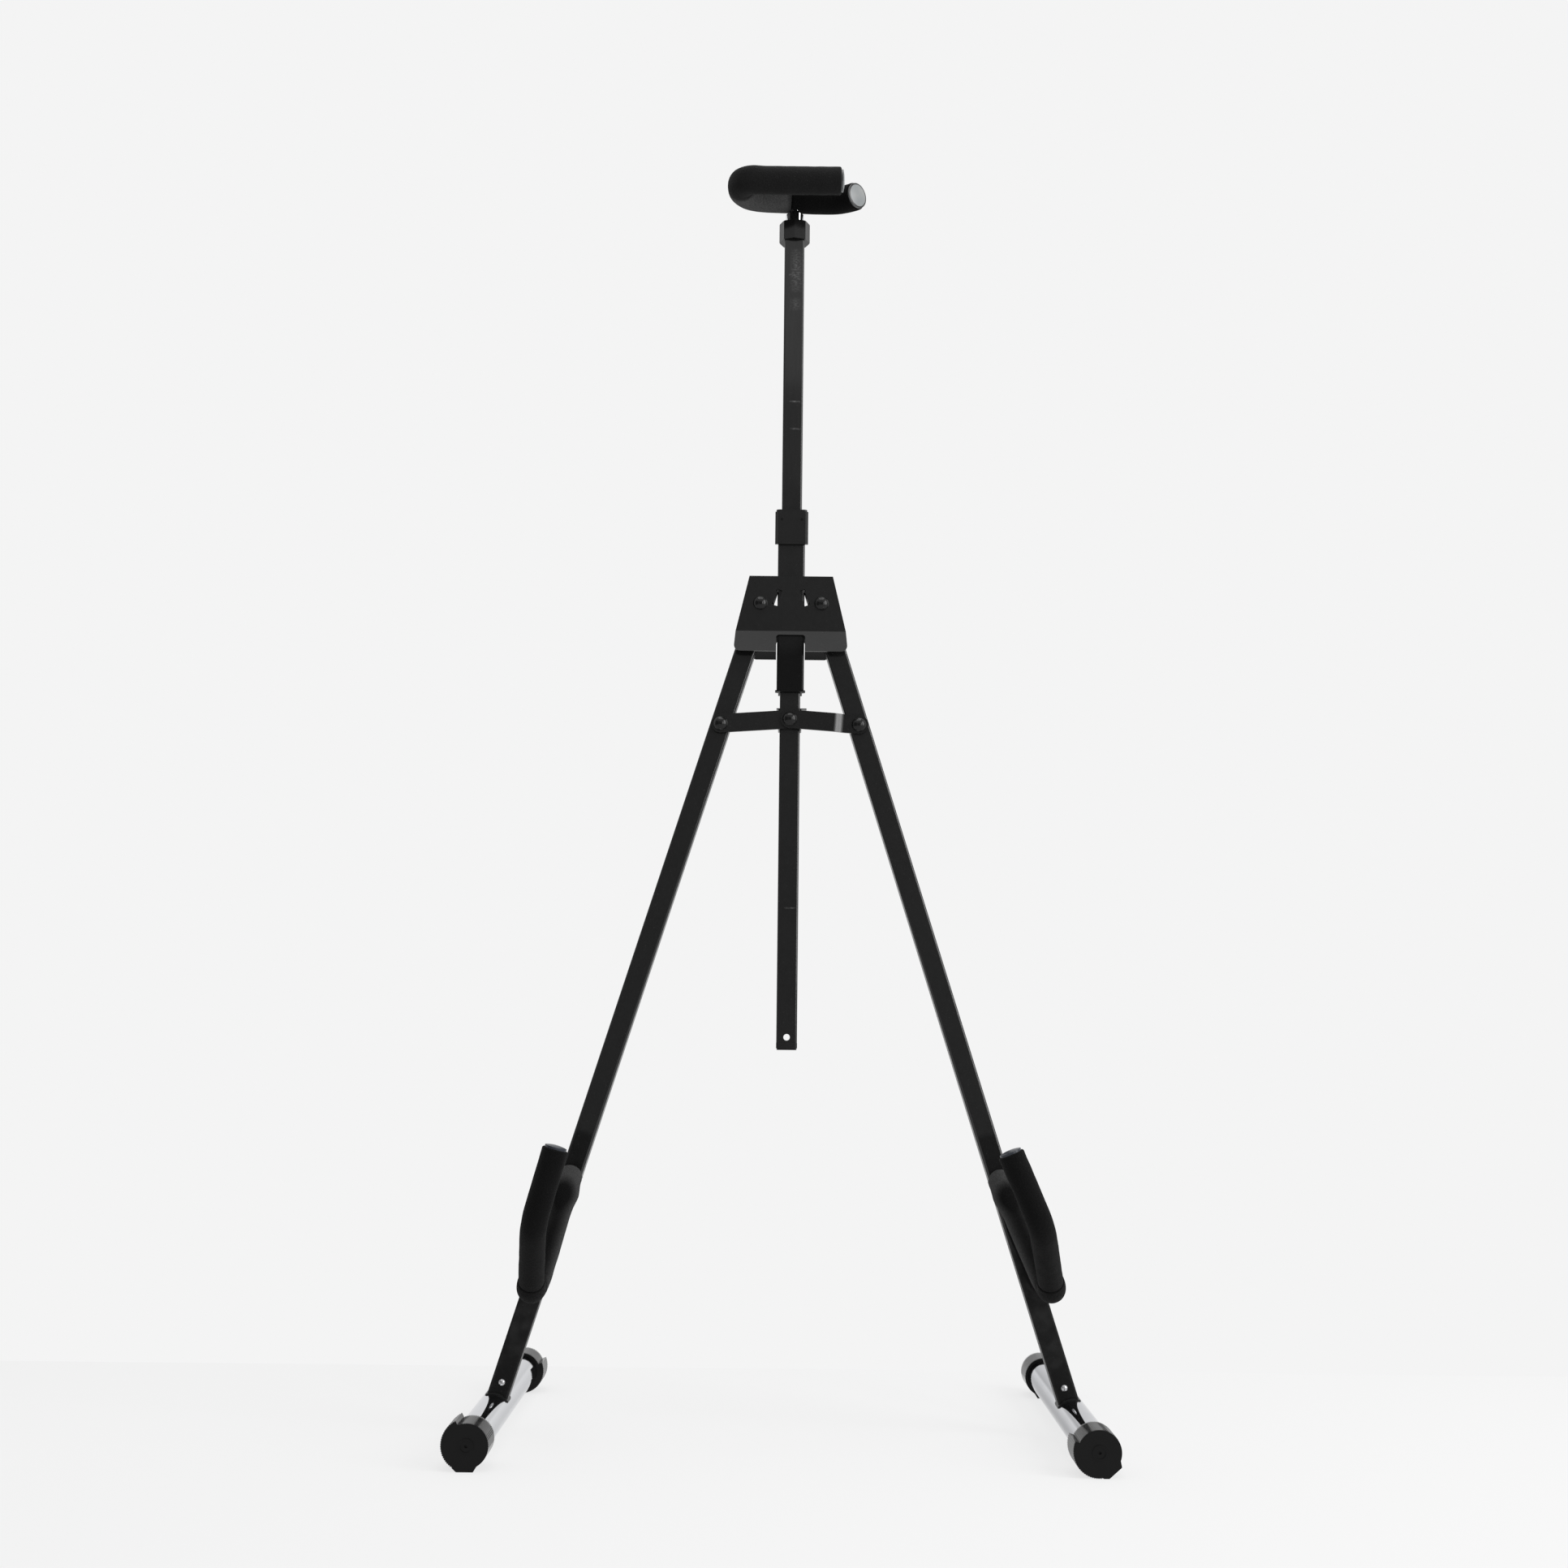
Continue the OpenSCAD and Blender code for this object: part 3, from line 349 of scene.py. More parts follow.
def stepped_enamel(name, hub, slope, start, length, drop):
    """Enamel over a step that begins `start` from the hub and drops over `length`."""
    finish = Finish(name, Specular_IOR_Level=0.5)
    cloud, haze, worn, ground = fresh_paint(finish)
    x, _, z = finish.axes()
    along = (x - hub.x) * math.cos(slope) + (z - hub.z) * math.sin(slope)
    step = along.rise(start, length)
    # painted highlight: the step is painted paler, most of all half way down it, where its
    # slope catches the light from the right; it is rougher there too
    step_highlight = step * (1 - step) * 4
    peel = spray(finish, 0.10, cloud, haze, worn + step_highlight * 0.42, ground)
    # the slope of a soft S grows from nothing and fades again
    swell = (step - (1 - (step * math.pi).cosine()) * (1.25 / math.pi)) * drop
    finish.feed(Normal=finish.bump(swell, depth=1.0, over=peel))
    return finish.material


link_hub, link_end = middle("centre_rivet"), middle("right_link_rivet")
link_slope = math.atan2(link_end.z - link_hub.z, link_end.x - link_hub.x)
joggled_enamel = stepped_enamel("joggled_enamel", link_hub, link_slope, start=0.041,
                                length=0.009, drop=0.0028)
print("the right link slopes by", round(math.degrees(link_slope), 2), "degrees")

# %% [markdown]
# ## Chrome, gloss steel and zinc
# The foot tubes are plated and polished: a mirror, with the fine lengthwise wipe marks that
# plated tube always has. An even pale room leaves a mirror little to show, so the dark and
# bright lines along the tubes are put into the colour, by the way the surface faces. The
# rivet heads are turned steel under gloss black paint, and the screws are zinc plated.

# %% Make the metals
dark_line, dull_chrome, bright_chrome = (
    (0.06, 0.06, 0.065, 1), (0.66, 0.665, 0.68, 1), (0.82, 0.825, 0.835, 1))
lines_round_tube = [
    (0.0, 0.30), (0.05, 0.75), (0.10, 0.95), (0.15, 0.45), (0.22, 0.62), (0.34, 0.80),
    (0.62, 0.86), (0.86, 0.80), (0.93, 1.0), (1.0, 0.45)]


def chrome_plate():
    finish = Finish("chrome", Metallic=1.0, Specular_Tint=(0.82, 0.825, 0.84, 1))
    wipe = finish.noise(0.0012, detail=3, stretch=(1, 0.04, 1))
    smudge = finish.noise(0.03, detail=4)
    x = finish.axes()[0]
    foot = (x * 1000).at_least(-1.0).at_most(1.0)
    outward = finish.facing()[0] * foot
    # painted reflection: dark and bright lines round each foot tube, by the way its surface
    # faces out from the stand
    painted_reflection = finish.ramp(outward * 0.5 + 0.5, lines_round_tube)
    # painted reflection: the left foot's chrome is painted lighter than the right's, in its
    # lines and in its plating
    left = x.fall(0.0, 0.001)
    painted_reflection = painted_reflection + (1 - painted_reflection) * left * 0.6
    plated = finish.blend((smudge + left * 0.9).at_most(1.0), dull_chrome, bright_chrome)
    finish.feed(Base_Color=finish.blend(painted_reflection, dark_line, plated),
                Roughness=0.035 + smudge * 0.03 + wipe * 0.02,
                Normal=finish.bump(wipe, depth=0.000004))
    return finish.material


def gloss_steel(name, base, rough, shine, chipped=0.20):
    finish = Finish(name, Specular_IOR_Level=shine)
    patch = finish.noise(0.004, detail=4)
    chip = finish.ramp(finish.noise(0.0009, detail=3), [(0.70, 0), (0.76, 1)])
    finish.feed(Base_Color=finish.blend(chip, grey(base), grey(chipped)),
                Roughness=rough + patch * 0.10 + chip * 0.3,
                Normal=finish.bump(patch, depth=0.00004))
    return finish.material


def zinc_plate():
    finish = Finish("zinc_steel", Metallic=1.0)
    grain = finish.noise(0.0008, detail=4)
    finish.feed(Base_Color=finish.blend(grain, grey(0.38), (0.52, 0.52, 0.54, 1)),
                Roughness=0.22 + grain * 0.15)
    return finish.material


chrome = chrome_plate()
rivet_black = gloss_steel("rivet_black", base=0.003, rough=0.14, shine=0.30)
rod_black = gloss_steel("rod_black", base=0.008, rough=0.20, shine=0.45)
zinc = zinc_plate()
print("metals ready, with", len(lines_round_tube), "stops round the chrome")

# %% [markdown]
# ## Moulded plastics
# The collar, the nut and the plugs are moulded with a fine spark-eroded grain, which scatters
# the highlight. The end caps of the arms' foam are smooth and blue grey. Nylon washers look
# milky, and a pale warm tone is enough for the little that shows of them. The levelling caps
# are matt on the flat face and polished by the mould on the ribs round it.

# %% Make the plastics
spark_grain, flow_grain = 0.0005, 0.012


def moulded(name, base, rough, depth=0.00003, tint=(1, 1, 1), shine=0.3):
    finish = Finish(name, Specular_IOR_Level=shine)
    spark = finish.noise(spark_grain, detail=2)
    flow = finish.noise(flow_grain, detail=3)
    tone = [base * part for part in tint]
    finish.feed(Base_Color=finish.blend(flow, (*tone, 1), (*(1.25 * part for part in tone), 1)),
                Roughness=rough + flow * 0.12, Normal=finish.bump(spark, depth))
    return finish.material


def ribbed_plastic():
    finish = Finish("ribbed_plastic", Specular_IOR_Level=0.09, Coat_Roughness=0.08)
    ribs = finish.sideways()
    flow = finish.noise(flow_grain, detail=3)
    finish.feed(Base_Color=finish.blend(flow, grey(0.0028), grey(0.0040)),
                Coat_Weight=0.12 + ribs * 0.16, Roughness=0.34 - ribs * 0.16 + flow * 0.06,
                Normal=finish.bump(finish.noise(spark_grain, detail=2), depth=0.000004))
    return finish.material


plastic = moulded("black_plastic", 0.006, 0.32, shine=0.25)
dark_plastic = moulded("dark_plastic", 0.003, 0.36, shine=0.12)
nut_plastic = moulded("nut_plastic", 0.005, 0.06, depth=0.000003, shine=0.28)
blue_grey = moulded("blue_grey", 0.022, 0.25, depth=0.00001, tint=(0.85, 1.0, 1.35))
nylon = moulded("nylon", 0.60, 0.40, tint=(1, 1, 0.93))
ribbed = ribbed_plastic()
print("plastics ready, with a grain of", round(spark_grain * 1000, 2), "mm")

# %% [markdown]
# ## Foam
# The sleeves are closed-cell foam tube. Its skin is dull and covered with small nubs, a
# little uneven in tone where hands have pressed it. Noise and cells in the bump make the
# nubs, and lint lies on them as a paler grey. The backs of some sleeves are paler in
# speckles, which on the yoke is painted light, and the yoke's rear sleeve is given a darker
# tone, as painted shade. The sheen of fine fibres is set once on the shader.

# %% Make the foam
lint_tone, nub_height, pale_edge = 0.30, 0.0005, 0.006


def foam_skin(name, base, lint=0.05, shine=0.10, pale_behind=None, pale_left_of=None,
              pale_tone=0.05):
    finish = Finish(name, Specular_IOR_Level=shine, Sheen_Weight=0.03, Sheen_Roughness=0.5)
    nubs = finish.noise(0.0016, detail=4, rough=0.6)
    pores = finish.cells(0.0011)
    tone = finish.noise(0.018, detail=5)
    fibres = finish.ramp(finish.noise(0.0010, detail=2), [(0.60, 0), (0.80, 1)])
    colour = finish.blend(tone, grey(base), grey(base * 1.9))
    colour = finish.blend(fibres * lint, colour, grey(lint_tone))
    if pale_behind is not None:
        # the back of the sleeve is paler, in speckles; on the yoke's front sleeve this is
        # painted light, where its underside catches light from the floor
        x, y, _ = finish.axes()
        speckle = finish.ramp(finish.noise(0.0008, detail=4), [(0.35, 0.45), (0.70, 1)])
        paled = y.rise(pale_behind, pale_edge) * speckle
        if pale_left_of is not None:
            paled = paled * x.fall(pale_left_of, pale_edge)
        colour = finish.blend(paled, colour, grey(pale_tone))
    finish.feed(Base_Color=colour, Roughness=0.78 + tone * 0.15,
                Normal=finish.bump(nubs + pores * 0.5, nub_height))
    return finish.material


# painted light: the rear-left of the front sleeve is painted paler, where its underside catches
# light from the floor
front_foam = foam_skin("foam", 0.0045, pale_behind=-0.060, pale_left_of=-0.002, pale_tone=0.075)
# painted shade: the yoke's rear sleeve is the same foam as the front one, given a darker tone
# for the shade it hangs in
shaded_rear_foam = foam_skin("shaded_rear_foam", 0.0018, lint=0.02, shine=0.04)
arm_foam = foam_skin("arm_foam", 0.0030, lint=0.03, shine=0.05)
arm_rear_foam = foam_skin("arm_rear_foam", 0.0030, lint=0.03, shine=0.05, pale_behind=-0.068,
                          pale_tone=0.055)
print("foam ready, with nubs", round(nub_height * 1000, 2), "mm high")

# %% [markdown]
# ## Finishes on the frame's pieces
# Each exact solid gets its finish by name. Sheet parts and moulded parts also get a small
# bevel modifier, because a real edge is never perfectly sharp: the tiny round is what
# catches the light and draws the thin bright lines round the plates.

# %% Dress the pieces
finishes = {
    enamel: ("front_plate", "left_leg", "right_leg", "left_link"),
    joggled_enamel: ("right_link",),
    tube_enamel: ("outer_tube", "rear_plate"),
    mast_enamel: ("inner_tube",),
    rivet_black: ("left_leg_rivet", "right_leg_rivet", "left_link_rivet", "right_link_rivet",
                  "centre_rivet"),
    rod_black: ("yoke_rod", "left_arm_rod", "right_arm_rod", "left_arm_nut", "right_arm_nut",
                "left_arm_washer", "right_arm_washer", "spreader_clip"),
    dark_plastic: ("lower_bush",),
    plastic: ("height_collar", "end_plug", "height_knob", "yoke_socket",
              "left_foot_saddle", "right_foot_saddle"),
    nut_plastic: ("lock_nut",),
    ribbed: ("left_front_cap", "left_rear_cap", "right_front_cap", "right_rear_cap"),
    chrome: ("left_foot_tube", "right_foot_tube", "yoke_stem"),
    zinc: ("knob_screw", "left_foot_screw", "right_foot_screw"),
    nylon: ("pivot_washers", "left_link_washer", "right_link_washer"),
    blue_grey: ("left_arm_cap", "right_arm_cap"),
}
edge_rounds = {
    0.0007: ("front_plate", "rear_plate"),
    0.00045: ("left_link", "right_link"),
    0.0005: ("height_collar", "lower_bush", "lock_nut"),
    0.0002: finishes[ribbed],
}
sharp_from = math.radians(50)


def dress(name, material):
    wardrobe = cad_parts[name].data.materials
    wardrobe.clear()
    wardrobe.append(material)


def soften(name, width):
    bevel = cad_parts[name].modifiers.new("edge", "BEVEL")
    bevel.width = width
    bevel.segments = 2
    bevel.limit_method = "ANGLE"
    bevel.angle_limit = sharp_from


for material, names in finishes.items():
    for name in names:
        dress(name, material)
for width, names in edge_rounds.items():
    for name in names:
        soften(name, width)
print("dressed", sum(map(len, finishes.values())), "pieces and softened",
      sum(map(len, edge_rounds.values())))

# %% [markdown]
# ## A path for bent rod
# Rod is bent on a machine that knows three moves: feed, bend, and roll. The same three moves
# make the centreline here, so the foam lies round the rod of the frame. Only the yoke's
# corner is drawn squarer and the arms' knee rounder than the rod, as foam sits when it has
# been pulled round a bend.

# %% Walk a path
ring_step = 0.0012
quarter = math.pi / 2


class Route:
    """A pen that feeds along its own +Z, bends towards its own +X, and rolls."""

    def __init__(self, start):
        self.place = start.copy()
        self.points, self.bends = [self.place.translation.copy()], [(0.0, Vector((1, 0, 0)))]

    def _mark(self, place, bend):
        self.points.append(place.translation.copy())
        self.bends.append((bend, (place.to_3x3() @ Vector((1, 0, 0))).normalized()))

    def feed(self, length):
        count = max(1, round(length / ring_step))
        for i in range(1, count + 1):
            self._mark(self.place @ Matrix.Translation((0, 0, length * i / count)), 0.0)
        self.place = self.place @ Matrix.Translation((0, 0, length))
        return self

    def bend(self, radius, angle):
        count = max(2, round(radius * angle / ring_step))
        for i in range(1, count + 1):
            part = angle * i / count
            move = (Matrix.Translation((radius - radius * math.cos(part), 0,
                                        radius * math.sin(part)))
                    @ Matrix.Rotation(part, 4, "Y"))
            self._mark(self.place @ move, 1.0 / radius)
        self.place = self.place @ move
        return self

    def roll(self, angle):
        self.place = self.place @ Matrix.Rotation(angle, 4, "Z")
        return self


def distances(points):
    """How far along a path each of its points is."""
    along = [0.0]
    for a, b in zip(points, points[1:]):
        along.append(along[-1] + (b - a).length)
    return along


print("a ring of foam every", round(ring_step * 1000, 1), "mm")

# %% [markdown]
# ## The section of a sleeve
# Cut foam rolls over at its ends, fattens before an end that is pushed against something,
# squeezes into shallow creases inside a bend, and loses its round section where it is pulled
# round a tight corner. Each of these is a small formula, and low bumps from a fixed noise
# keep the skin from looking machined.

# %% Shape the section
rod_radius = 0.00475
ring_points = 56
end_rings = 8
lump_height, lump_scale, lump_reach = 0.00025, 90, 0.01
crease_pitch, tightest_bend = 0.0046, 0.016
thinnest_wall, lip_depth = 0.0005, 0.0006


def radius_loss(distance, rounding):
    """How much smaller the sleeve is so near to its end, for a quarter-round of that size."""
    short = max(0.0, 1 - distance / rounding)
    return rounding * (1 - math.sqrt(max(0.0, 1 - short * short)))


def swelling(s, hills):
    """The sum of soft hills along the sleeve, each a place, a reach and a height."""
    return sum(height * math.exp(-((s - where) / reach) ** 2)
               for where, reach, height in hills)


def stations(total, start_round, end_round):
    """Where the rings go along a sleeve: evenly, and closer where the ends roll over."""
    places = [ring_step * i for i in range(1, int(total / ring_step))]
    places = [s for s in places if start_round < s < total - end_round]
    for i in range(end_rings + 1):
        rolled = 1 - math.cos(quarter * i / end_rings)
        places += [start_round * rolled, total - end_round * rolled]
    return sorted(places)


def squared_off(inward, power):
    """How far the section reaches on the outside of a bend, for a round one with power 2."""
    toward = min(0.0, inward)
    wide = math.sqrt(max(0.0, 1 - toward * toward))
    return (abs(toward) ** power + wide ** power) ** (-1 / power)


print("rings of", ring_points, "points")

# %% [markdown]
# ## The skin of a sleeve
# The skin is a mesh of rings with strips of faces between them. Its two ends turn in to the
# rod, where a flat lip closes the mesh, because a piece that is one closed skin can be
# measured, exported and printed as it is.

# %% Make the skin
def skin_ring(mesh, centre, side, other, inner, radius, power, fold_here, swell, ease):
    """One ring round the centre. `inner` points to the inside of the bend."""
    ring = []
    for k in range(ring_points):
        turn = 2 * math.pi * k / ring_points
        out = side * math.cos(turn) + other * math.sin(turn)
        inward = out.dot(inner)
        lump = lump_height * space_noise.noise((centre + out * lump_reach) * lump_scale)
        fold = fold_here * max(0.0, inward) ** 2
        reach = radius * squared_off(inward, power) + swell + lump - fold - ease
        ring.append(mesh.verts.new(centre + out * max(rod_radius + thinnest_wall, reach)))
    return ring


def strip(mesh, first, second):
    """A strip of faces between two rings."""
    for k in range(ring_points):
        after = (k + 1) % ring_points
        mesh.faces.new((first[k], first[after], second[after], second[k]))


def close_end(mesh, ring, inward):
    """The cut face of the foam, from its last ring down to the rod."""
    centre = sum((v.co for v in ring), Vector()) / ring_points
    sunk = inward.normalized() * lip_depth
    lip = [mesh.verts.new(centre + (v.co - centre).normalized() * rod_radius + sunk)
           for v in ring]
    strip(mesh, ring, lip)
    mesh.faces.new(lip)


def as_piece(name, mesh, skin):
    """Turns a finished mesh into a smooth object in the scene."""
    bmesh.ops.recalc_face_normals(mesh, faces=mesh.faces)
    data = bpy.data.meshes.new(name)
    mesh.to_mesh(data)
    mesh.free()
    data.polygons.foreach_set("use_smooth", [True] * len(data.polygons))
    data.materials.append(skin)
    piece = bpy.data.objects.new(name, data)
    scene.collection.objects.link(piece)
    return piece


# %% [markdown]
# ## A sleeve of foam
# The rings are swept along the path, each one turned as little as possible from the one
# before, so that the skin doesn't twist. At every ring the formulas of the section say how
# far the skin is from the middle of the rod.

# %% Sweep a sleeve
def sweep(name, points, bends, radius, start_round, end_round, skin, crease=0.0006,
          bulges=(), squared=()):
    """A closed sleeve along the points. bulges are (where, reach, height), in metres, and
    squared lists (where, reach, power above round) for its tight corners."""
    along = distances(points)
    total = along[-1]
    side = (points[1] - points[0]).orthogonal().normalized()
    mesh = bmesh.new()
    rings, i = [], 0
    for s in stations(total, start_round, end_round):
        while i < len(along) - 2 and along[i + 1] < s:
            i += 1
        part = (s - along[i]) / (along[i + 1] - along[i])
        centre = points[i].lerp(points[i + 1], part)
        tangent = (points[min(len(points) - 1, i + 2)] - points[max(0, i - 1)]).normalized()
        side = (side - tangent * side.dot(tangent)).normalized()
        other = tangent.cross(side)
        curve = bends[i][0] * (1 - part) + bends[i + 1][0] * part
        swell = swelling(s, bulges)
        ease = max(radius_loss(s, start_round), radius_loss(total - s, end_round))
        power = 2 + swelling(s, squared)
        fold_here = crease * min(1.0, curve * tightest_bend) * (
            0.5 + 0.5 * math.sin(s * 2 * math.pi / crease_pitch))
        rings.append(skin_ring(mesh, centre, side, other, bends[i + 1][1], radius, power,
                               fold_here, swell, ease))
    for first, second in zip(rings, rings[1:]):
        strip(mesh, first, second)
    close_end(mesh, rings[0], points[1] - points[0])
    close_end(mesh, rings[-1], points[-2] - points[-1])
    print(name, "has", len(rings), "rings over", round(total * 1000), "mm")
    return as_piece(name, mesh, skin)


# %% [markdown]
# ## The yoke's sleeves
# The yoke is one rod bent into a hook with two sleeves pushed on from its ends. They meet
# just left of the stem, whose neck comes up into the foam of the rear one.

# %% Make the yoke's foam
mast_y = -0.0325
yoke_z = 1.157486
yoke_radius = 0.013
skew = math.radians(4)
seam_x = 0.0040
seam_gap = 0.0006
stem_frame = Matrix.Translation((0, mast_y, yoke_z))
heading = Matrix.Rotation(quarter, 4, "Z") @ Matrix.Rotation(quarter, 4, "X")

front_route = Route(stem_frame @ Matrix.Rotation(math.pi + skew, 4, "Z") @ heading
                    @ Matrix.Translation((0, 0, seam_x)))
back_limb, back_corner, end_limb = 0.0309, 0.022, 0.0041
front_corner, front_limb = 0.014, 0.081
front_route.feed(back_limb - seam_x).bend(back_corner, quarter - skew).feed(end_limb)
front_route.bend(front_corner, quarter).feed(front_limb)
corner_at = (back_limb - seam_x + back_corner * (quarter - skew) + end_limb
             + front_corner * quarter / 2)
front_sleeve = sweep("yoke_front_sleeve", front_route.points, front_route.bends, yoke_radius,
                     start_round=0.0012, end_round=0.0018, skin=front_foam,
                     squared=((corner_at, 0.015, 0.6),))

rear_limb, rear_curve, rear_turn = 0.028, 0.040, math.radians(45)
rear_route = Route(stem_frame @ Matrix.Rotation(skew, 4, "Z") @ heading
                   @ Matrix.Translation((0, 0, seam_gap - seam_x)))
rear_route.feed(rear_limb + seam_x - seam_gap).roll(math.pi).bend(rear_curve, skew + rear_turn)
rear_sleeve = sweep("yoke_rear_sleeve", rear_route.points, rear_route.bends, yoke_radius,
                    start_round=0.0012, end_round=0.0016, skin=shaded_rear_foam)
for sleeve, node in ((front_sleeve, "yoke_front_foam"), (rear_sleeve, "yoke_rear_foam")):
    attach(sleeve, "yoke")
    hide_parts(node)

# %% [markdown]
# ## The yoke's plugs
# Each end of the yoke's foam is closed by a satin grey plug with a dark ring near its rim.
# The plug is turned, so its ring is drawn by the distance from its axis: the length of the
# cross product of the axis and the way there.

# %% Dress the plugs
plug_dark_ring = [(0.80, 1), (0.82, 0), (0.90, 0), (0.93, 0.4)]


def plug_finish(name, route, radius):
    finish = Finish(name, Specular_IOR_Level=0.45)
    centre, axis = route.place.translation, route.place.to_3x3() @ Vector((0, 0, 1))
    away = finish.node("ShaderNodeVectorMath", {"operation": "SUBTRACT"},
                       {0: finish.place(), 1: tuple(centre)})
    turned = finish.node("ShaderNodeVectorMath", {"operation": "CROSS_PRODUCT"},
                         {0: away, 1: tuple(axis)})
    reach = finish.node("ShaderNodeVectorMath", {"operation": "LENGTH"}, {0: turned},
                        out="Value")
    rim = finish.ramp(reach / radius, plug_dark_ring)
    cloud = finish.noise(0.012, detail=3)
    pale = finish.blend(cloud, (0.17, 0.19, 0.20, 1), (0.27, 0.27, 0.265, 1))
    finish.feed(Base_Color=finish.blend(rim, grey(0.004), pale), Roughness=0.24 + cloud * 0.12)
    return finish.material


for name, route in (("yoke_front_cap", front_route), ("yoke_rear_cap", rear_route)):
    dress(name, plug_finish(name + "_grey", route, yoke_radius))
print("two plugs, with a groove from", round(plug_dark_ring[0][0] * yoke_radius * 1000, 1), "mm")

# %% [markdown]
# ## The arms' sleeves
# Each arm is a rod that leaves the leg to the front, drops, and comes forward and up as a
# hook. The layout below gives the places of its three bends, in the plane that the arm is
# bent in, and what is left of straight rod between them.

# %% Lay out the arms
leg_angle, arm_slope, arm_toe = (math.radians(a) for a in (17.37, 40, 5.5))
foot_x, foot_z = 0.258527, 0.0205
arm_up, arm_limb, arm_drop, arm_reach, arm_tip = 0.215, 0.024, 0.099, 0.122, 0.031
elbow, low_bend, knee = 0.013, 0.015, 0.036
half_leg, off_leg = 0.009525, 0.0008
seam_past_bend = 0.009

arm_x = foot_x - arm_up * math.sin(leg_angle)
arm_z = foot_z + arm_up * math.cos(leg_angle)
first_face = half_leg + off_leg
neck = arm_limb - elbow - first_face
shank = arm_drop - low_bend - elbow
low_v = arm_limb + low_bend + low_bend * math.sin(arm_slope)
low_u = arm_drop - low_bend + low_bend * math.cos(arm_slope)
knee_cut = knee * math.tan((quarter - arm_slope) / 2)
lower_len = (arm_reach - low_v) / math.cos(arm_slope) - knee_cut
knee_u = low_u - (arm_reach - low_v) * math.tan(arm_slope)
front_len = knee_u + arm_tip - knee_cut
seam_at = neck + elbow * quarter + shank + low_bend * (quarter + arm_slope) + seam_past_bend
turned_down = Matrix.Rotation(quarter, 4, "X") @ Matrix.Rotation(-quarter, 4, "Z")


def arm_route(side, swing):
    """The path of one arm's foam. The side is -1 for left, and the swing is in degrees."""
    hang = (Matrix.Translation((side * arm_x, mast_y, arm_z))
            @ Matrix.Rotation(-side * (leg_angle + math.radians(swing)), 4, "Y"))
    route = Route(hang @ turned_down @ Matrix.Translation((0, 0, first_face)))
    route.feed(neck).bend(elbow, quarter)
    route.feed(shank).roll(math.pi - side * arm_toe)
    route.bend(low_bend, quarter + arm_slope)
    route.feed(lower_len).bend(knee, quarter - arm_slope).feed(front_len)
    return route


print("the arms' foam meets", round(seam_at * 1000), "mm from the leg")

# %% [markdown]
# ## Two lengths for each arm
# The foam of an arm is two lengths that meet just past the lowest bend, so the path is cut
# there. The rear length is fatter where it is squeezed: just past the first bend, and before
# the seam, where the front length was pushed on against it.

# %% Make the arms' foam
arm_radius = 0.01125
arm_crease = 0.0008
arm_bulges = ((0.021, 0.009, 0.0022), (seam_at - 0.010, 0.011, 0.0014))

for side, word, swing in ((-1, "left", -2), (1, "right", 6)):
    route = arm_route(side, swing)
    cut = sum(far <= seam_at for far in distances(route.points)) - 1
    rear = sweep(f"{word}_arm_rear_sleeve", route.points[:cut + 1], route.bends[:cut + 1],
                 arm_radius, start_round=0.002, end_round=0.0014, skin=arm_rear_foam,
                 crease=arm_crease, bulges=arm_bulges)
    front = sweep(f"{word}_arm_front_sleeve", route.points[cut:], route.bends[cut:],
                  arm_radius, start_round=0.0009, end_round=0.0015, skin=arm_foam,
                  crease=arm_crease)
    for sleeve in (rear, front):
        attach(sleeve, f"{word}_arm")
        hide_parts(f"{word}_arm_foam")

# %% [markdown]
# ## The studio
# The stand is photographed on a white sweep in even light. The floor receives real light, so
# that it keeps the soft shadows round the feet, but most of what is seen of it is its own
# even glow, which is what keeps the background the same pale tone all over. The backdrop is
# just that tone, for the camera and for reflections.

# %% Build the floor and the backdrop
room_tone, sheet_tone = 0.905, 0.88
floor_glow, backdrop_glow = 0.80, 1.0
floor_half, floor_end = 4, 0.30
backdrop_half, backdrop_end, backdrop_z = 6, 3.5, -0.0005


def stage_material(name, own_glow):
    """A pale sheet that the camera and reflections see partly by its own even glow."""
    finish = Finish(name, Base_Color=grey(sheet_tone), Roughness=0.9, Specular_IOR_Level=0.1)
    lit = Signal(finish, finish.shader.outputs[0])
    glow = finish.node("ShaderNodeEmission", {}, {"Color": grey(room_tone)})
    finish.show(finish.node("ShaderNodeMixShader", {},
                            {0: finish.seen() * own_glow, 1: lit, 2: glow}))
    return finish.material


def sheet(name, corners, material):
    data = bpy.data.meshes.new(name)
    data.from_pydata(corners, [], [(0, 1, 2, 3)])
    data.materials.append(material)
    piece = bpy.data.objects.new(name, data)
    scene.collection.objects.link(piece)
    return piece


def level_sheet(name, half, near_y, far_y, z, material):
    return sheet(name, [(-half, near_y, z), (half, near_y, z), (half, far_y, z),
                        (-half, far_y, z)], material)


level_sheet("floor", floor_half, -floor_half, floor_end, 0,
            stage_material("floor_white", floor_glow))
level_sheet("backdrop", backdrop_half, floor_end, backdrop_end, backdrop_z,
            stage_material("backdrop_white", backdrop_glow))
print("a floor of", 2 * floor_half, "m and a backdrop behind it")

# %% [markdown]
# ## The room's light
# Most of the light is even and comes from all round, so the world gives it. What the camera
# and the reflections see of the world is the same pale tone as the backdrop, and the light
# that falls on the stand is set apart from that, at a plain level.

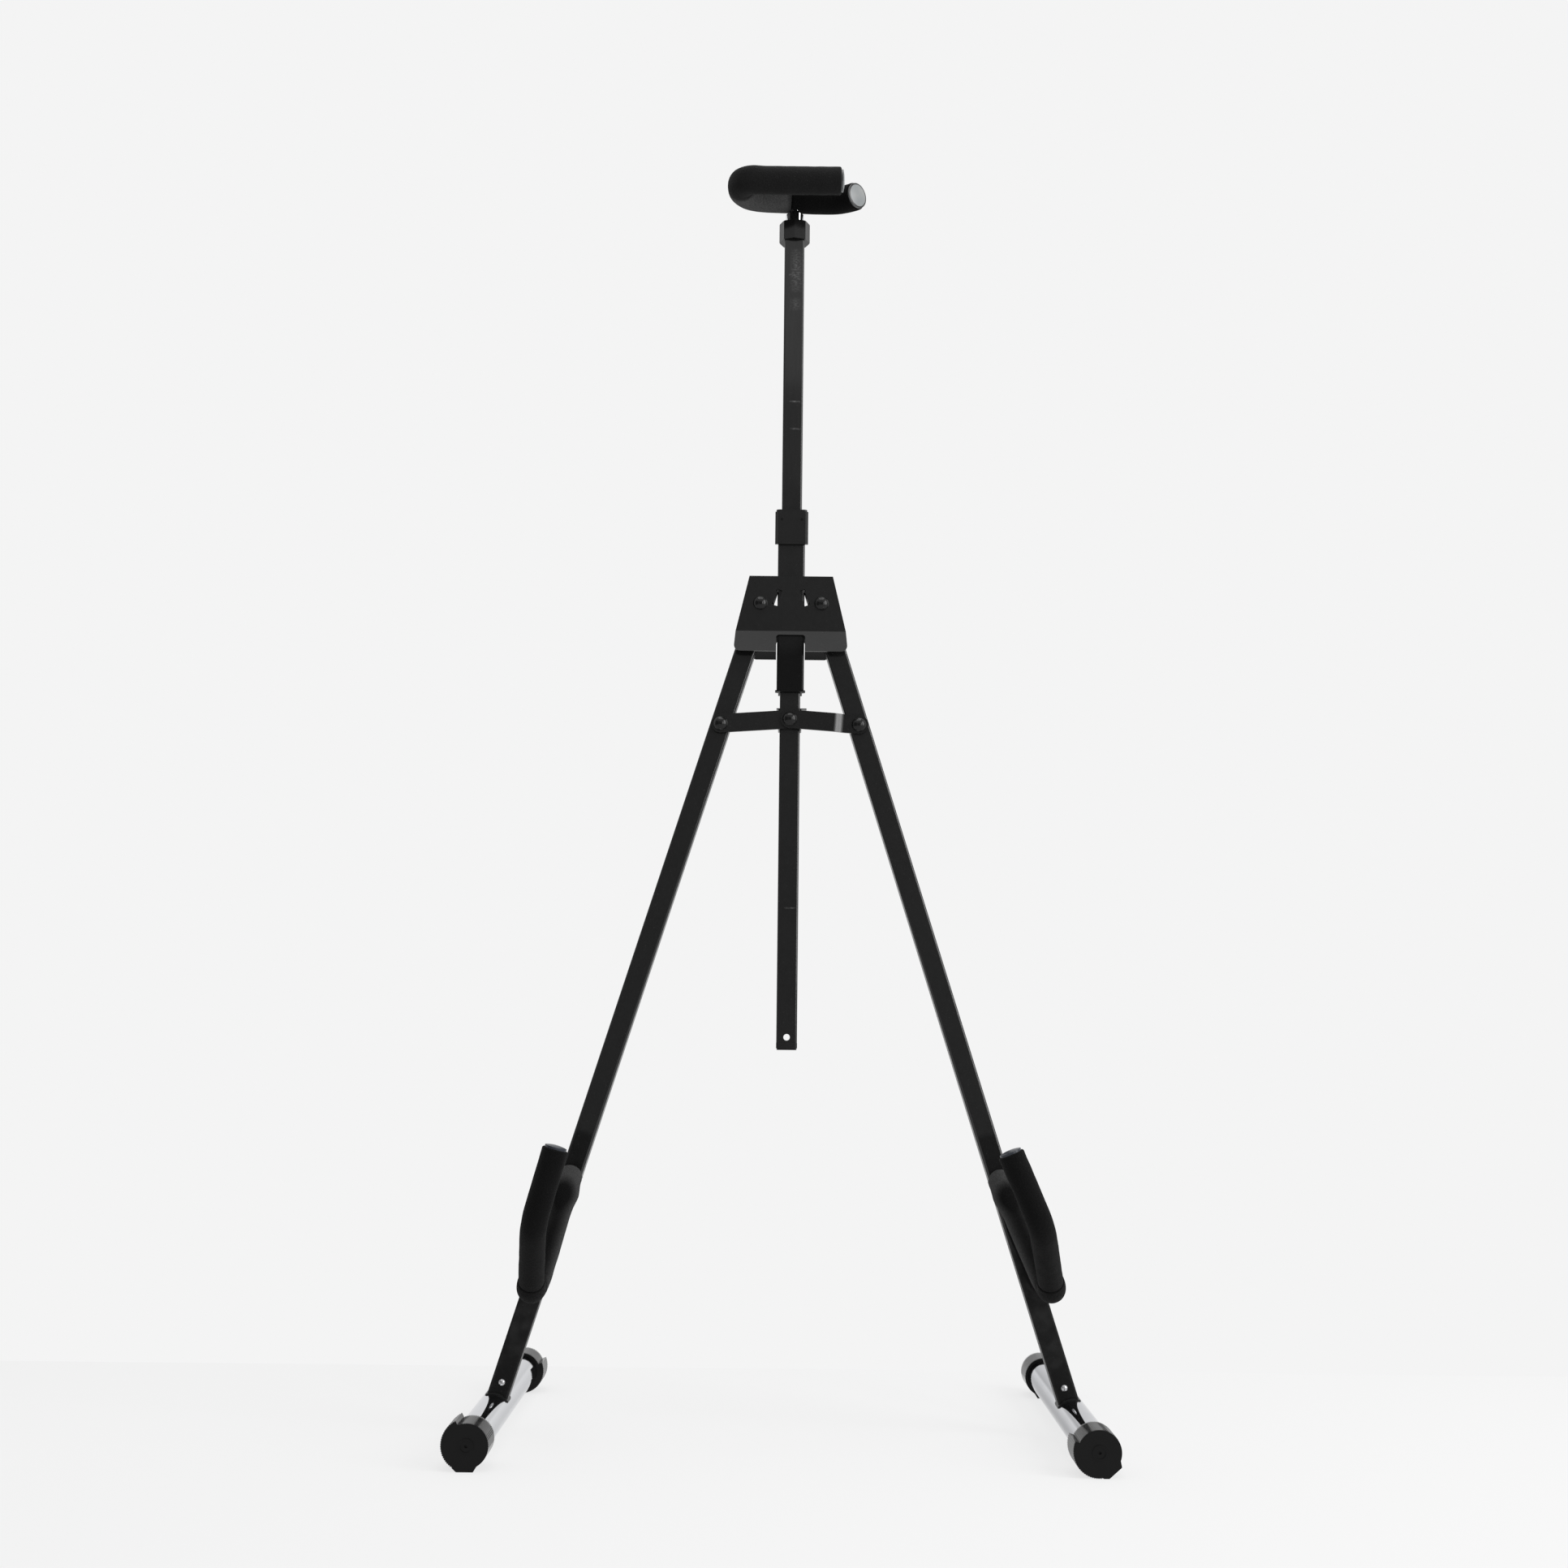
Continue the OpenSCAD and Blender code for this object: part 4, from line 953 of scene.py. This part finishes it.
# %% Light the room
ambient_light = 0.62
world = bpy.data.worlds.new("studio")
scene.world = world
world.use_nodes = True
sky = Tree(world.node_tree, "World Output")
ambient = sky.nodes["Background"]
ambient.inputs["Color"].default_value = grey(1)
ambient.inputs["Strength"].default_value = ambient_light
seen_sky = sky.node("ShaderNodeBackground", {}, {"Color": grey(room_tone), "Strength": 1.0})
sky.show(sky.node("ShaderNodeMixShader", {},
                  {0: sky.seen(), 1: Signal(sky, ambient.outputs[0]), 2: seen_sky}))
print("ambient light", ambient_light)

# %% [markdown]
# ## Dim cards
# Dim cards stand behind the camera and to its left. Only reflections show them: without
# them every face that looks at the camera would mirror the white room, and the black paint
# would read as grey.

# %% Hang the cards
card_tone, card_top = 0.22, 1.85


def card(name, left, right):
    """A card from the floor up, between two places on the floor."""
    piece = sheet(name, [(*left, 0.0), (*right, 0.0), (*right, card_top), (*left, card_top)],
                  card_finish.material)
    piece.visible_camera = piece.visible_diffuse = piece.visible_shadow = False
    piece.visible_transmission = False


card_finish = Finish("dim_card")
card_finish.show(card_finish.node("ShaderNodeEmission", {}, {"Color": grey(card_tone)}))
card("dim_card", (-1.0, -2.6), (1.0, -2.6))
card("dim_card_left", (-1.9, -0.4), (-1.2, -2.5))
print("two cards, tone", card_tone)

# %% [markdown]
# ## The lamps
# One large light on the right draws the bright lines on the tubes, a narrow one sharpens
# them, and a soft one overhead grounds the feet.

# %% Set the lamps
def softbox(name, place, aim_at, width, height, power):
    data = bpy.data.lights.new(name, "AREA")
    data.shape = "RECTANGLE"
    data.size, data.size_y, data.energy = width, height, power
    lamp = bpy.data.objects.new(name, data)
    scene.collection.objects.link(lamp)
    lamp.location = place
    lamp.rotation_euler = (Vector(aim_at) - Vector(place)).to_track_quat("-Z", "Y").to_euler()
    print(name, "gives", power, "W")


softbox("key_right", (1.9, -1.0, 1.3), (0, 0, 0.6), width=0.9, height=1.8, power=26)
softbox("strip_right", (1.15, -1.75, 0.95), (0.05, 0, 0.6), width=0.22, height=1.2, power=6)
softbox("top", (0, -0.3, 2.6), (0, 0, 0.4), width=1.6, height=1.6, power=16)
scene.view_settings.view_transform = "Standard"
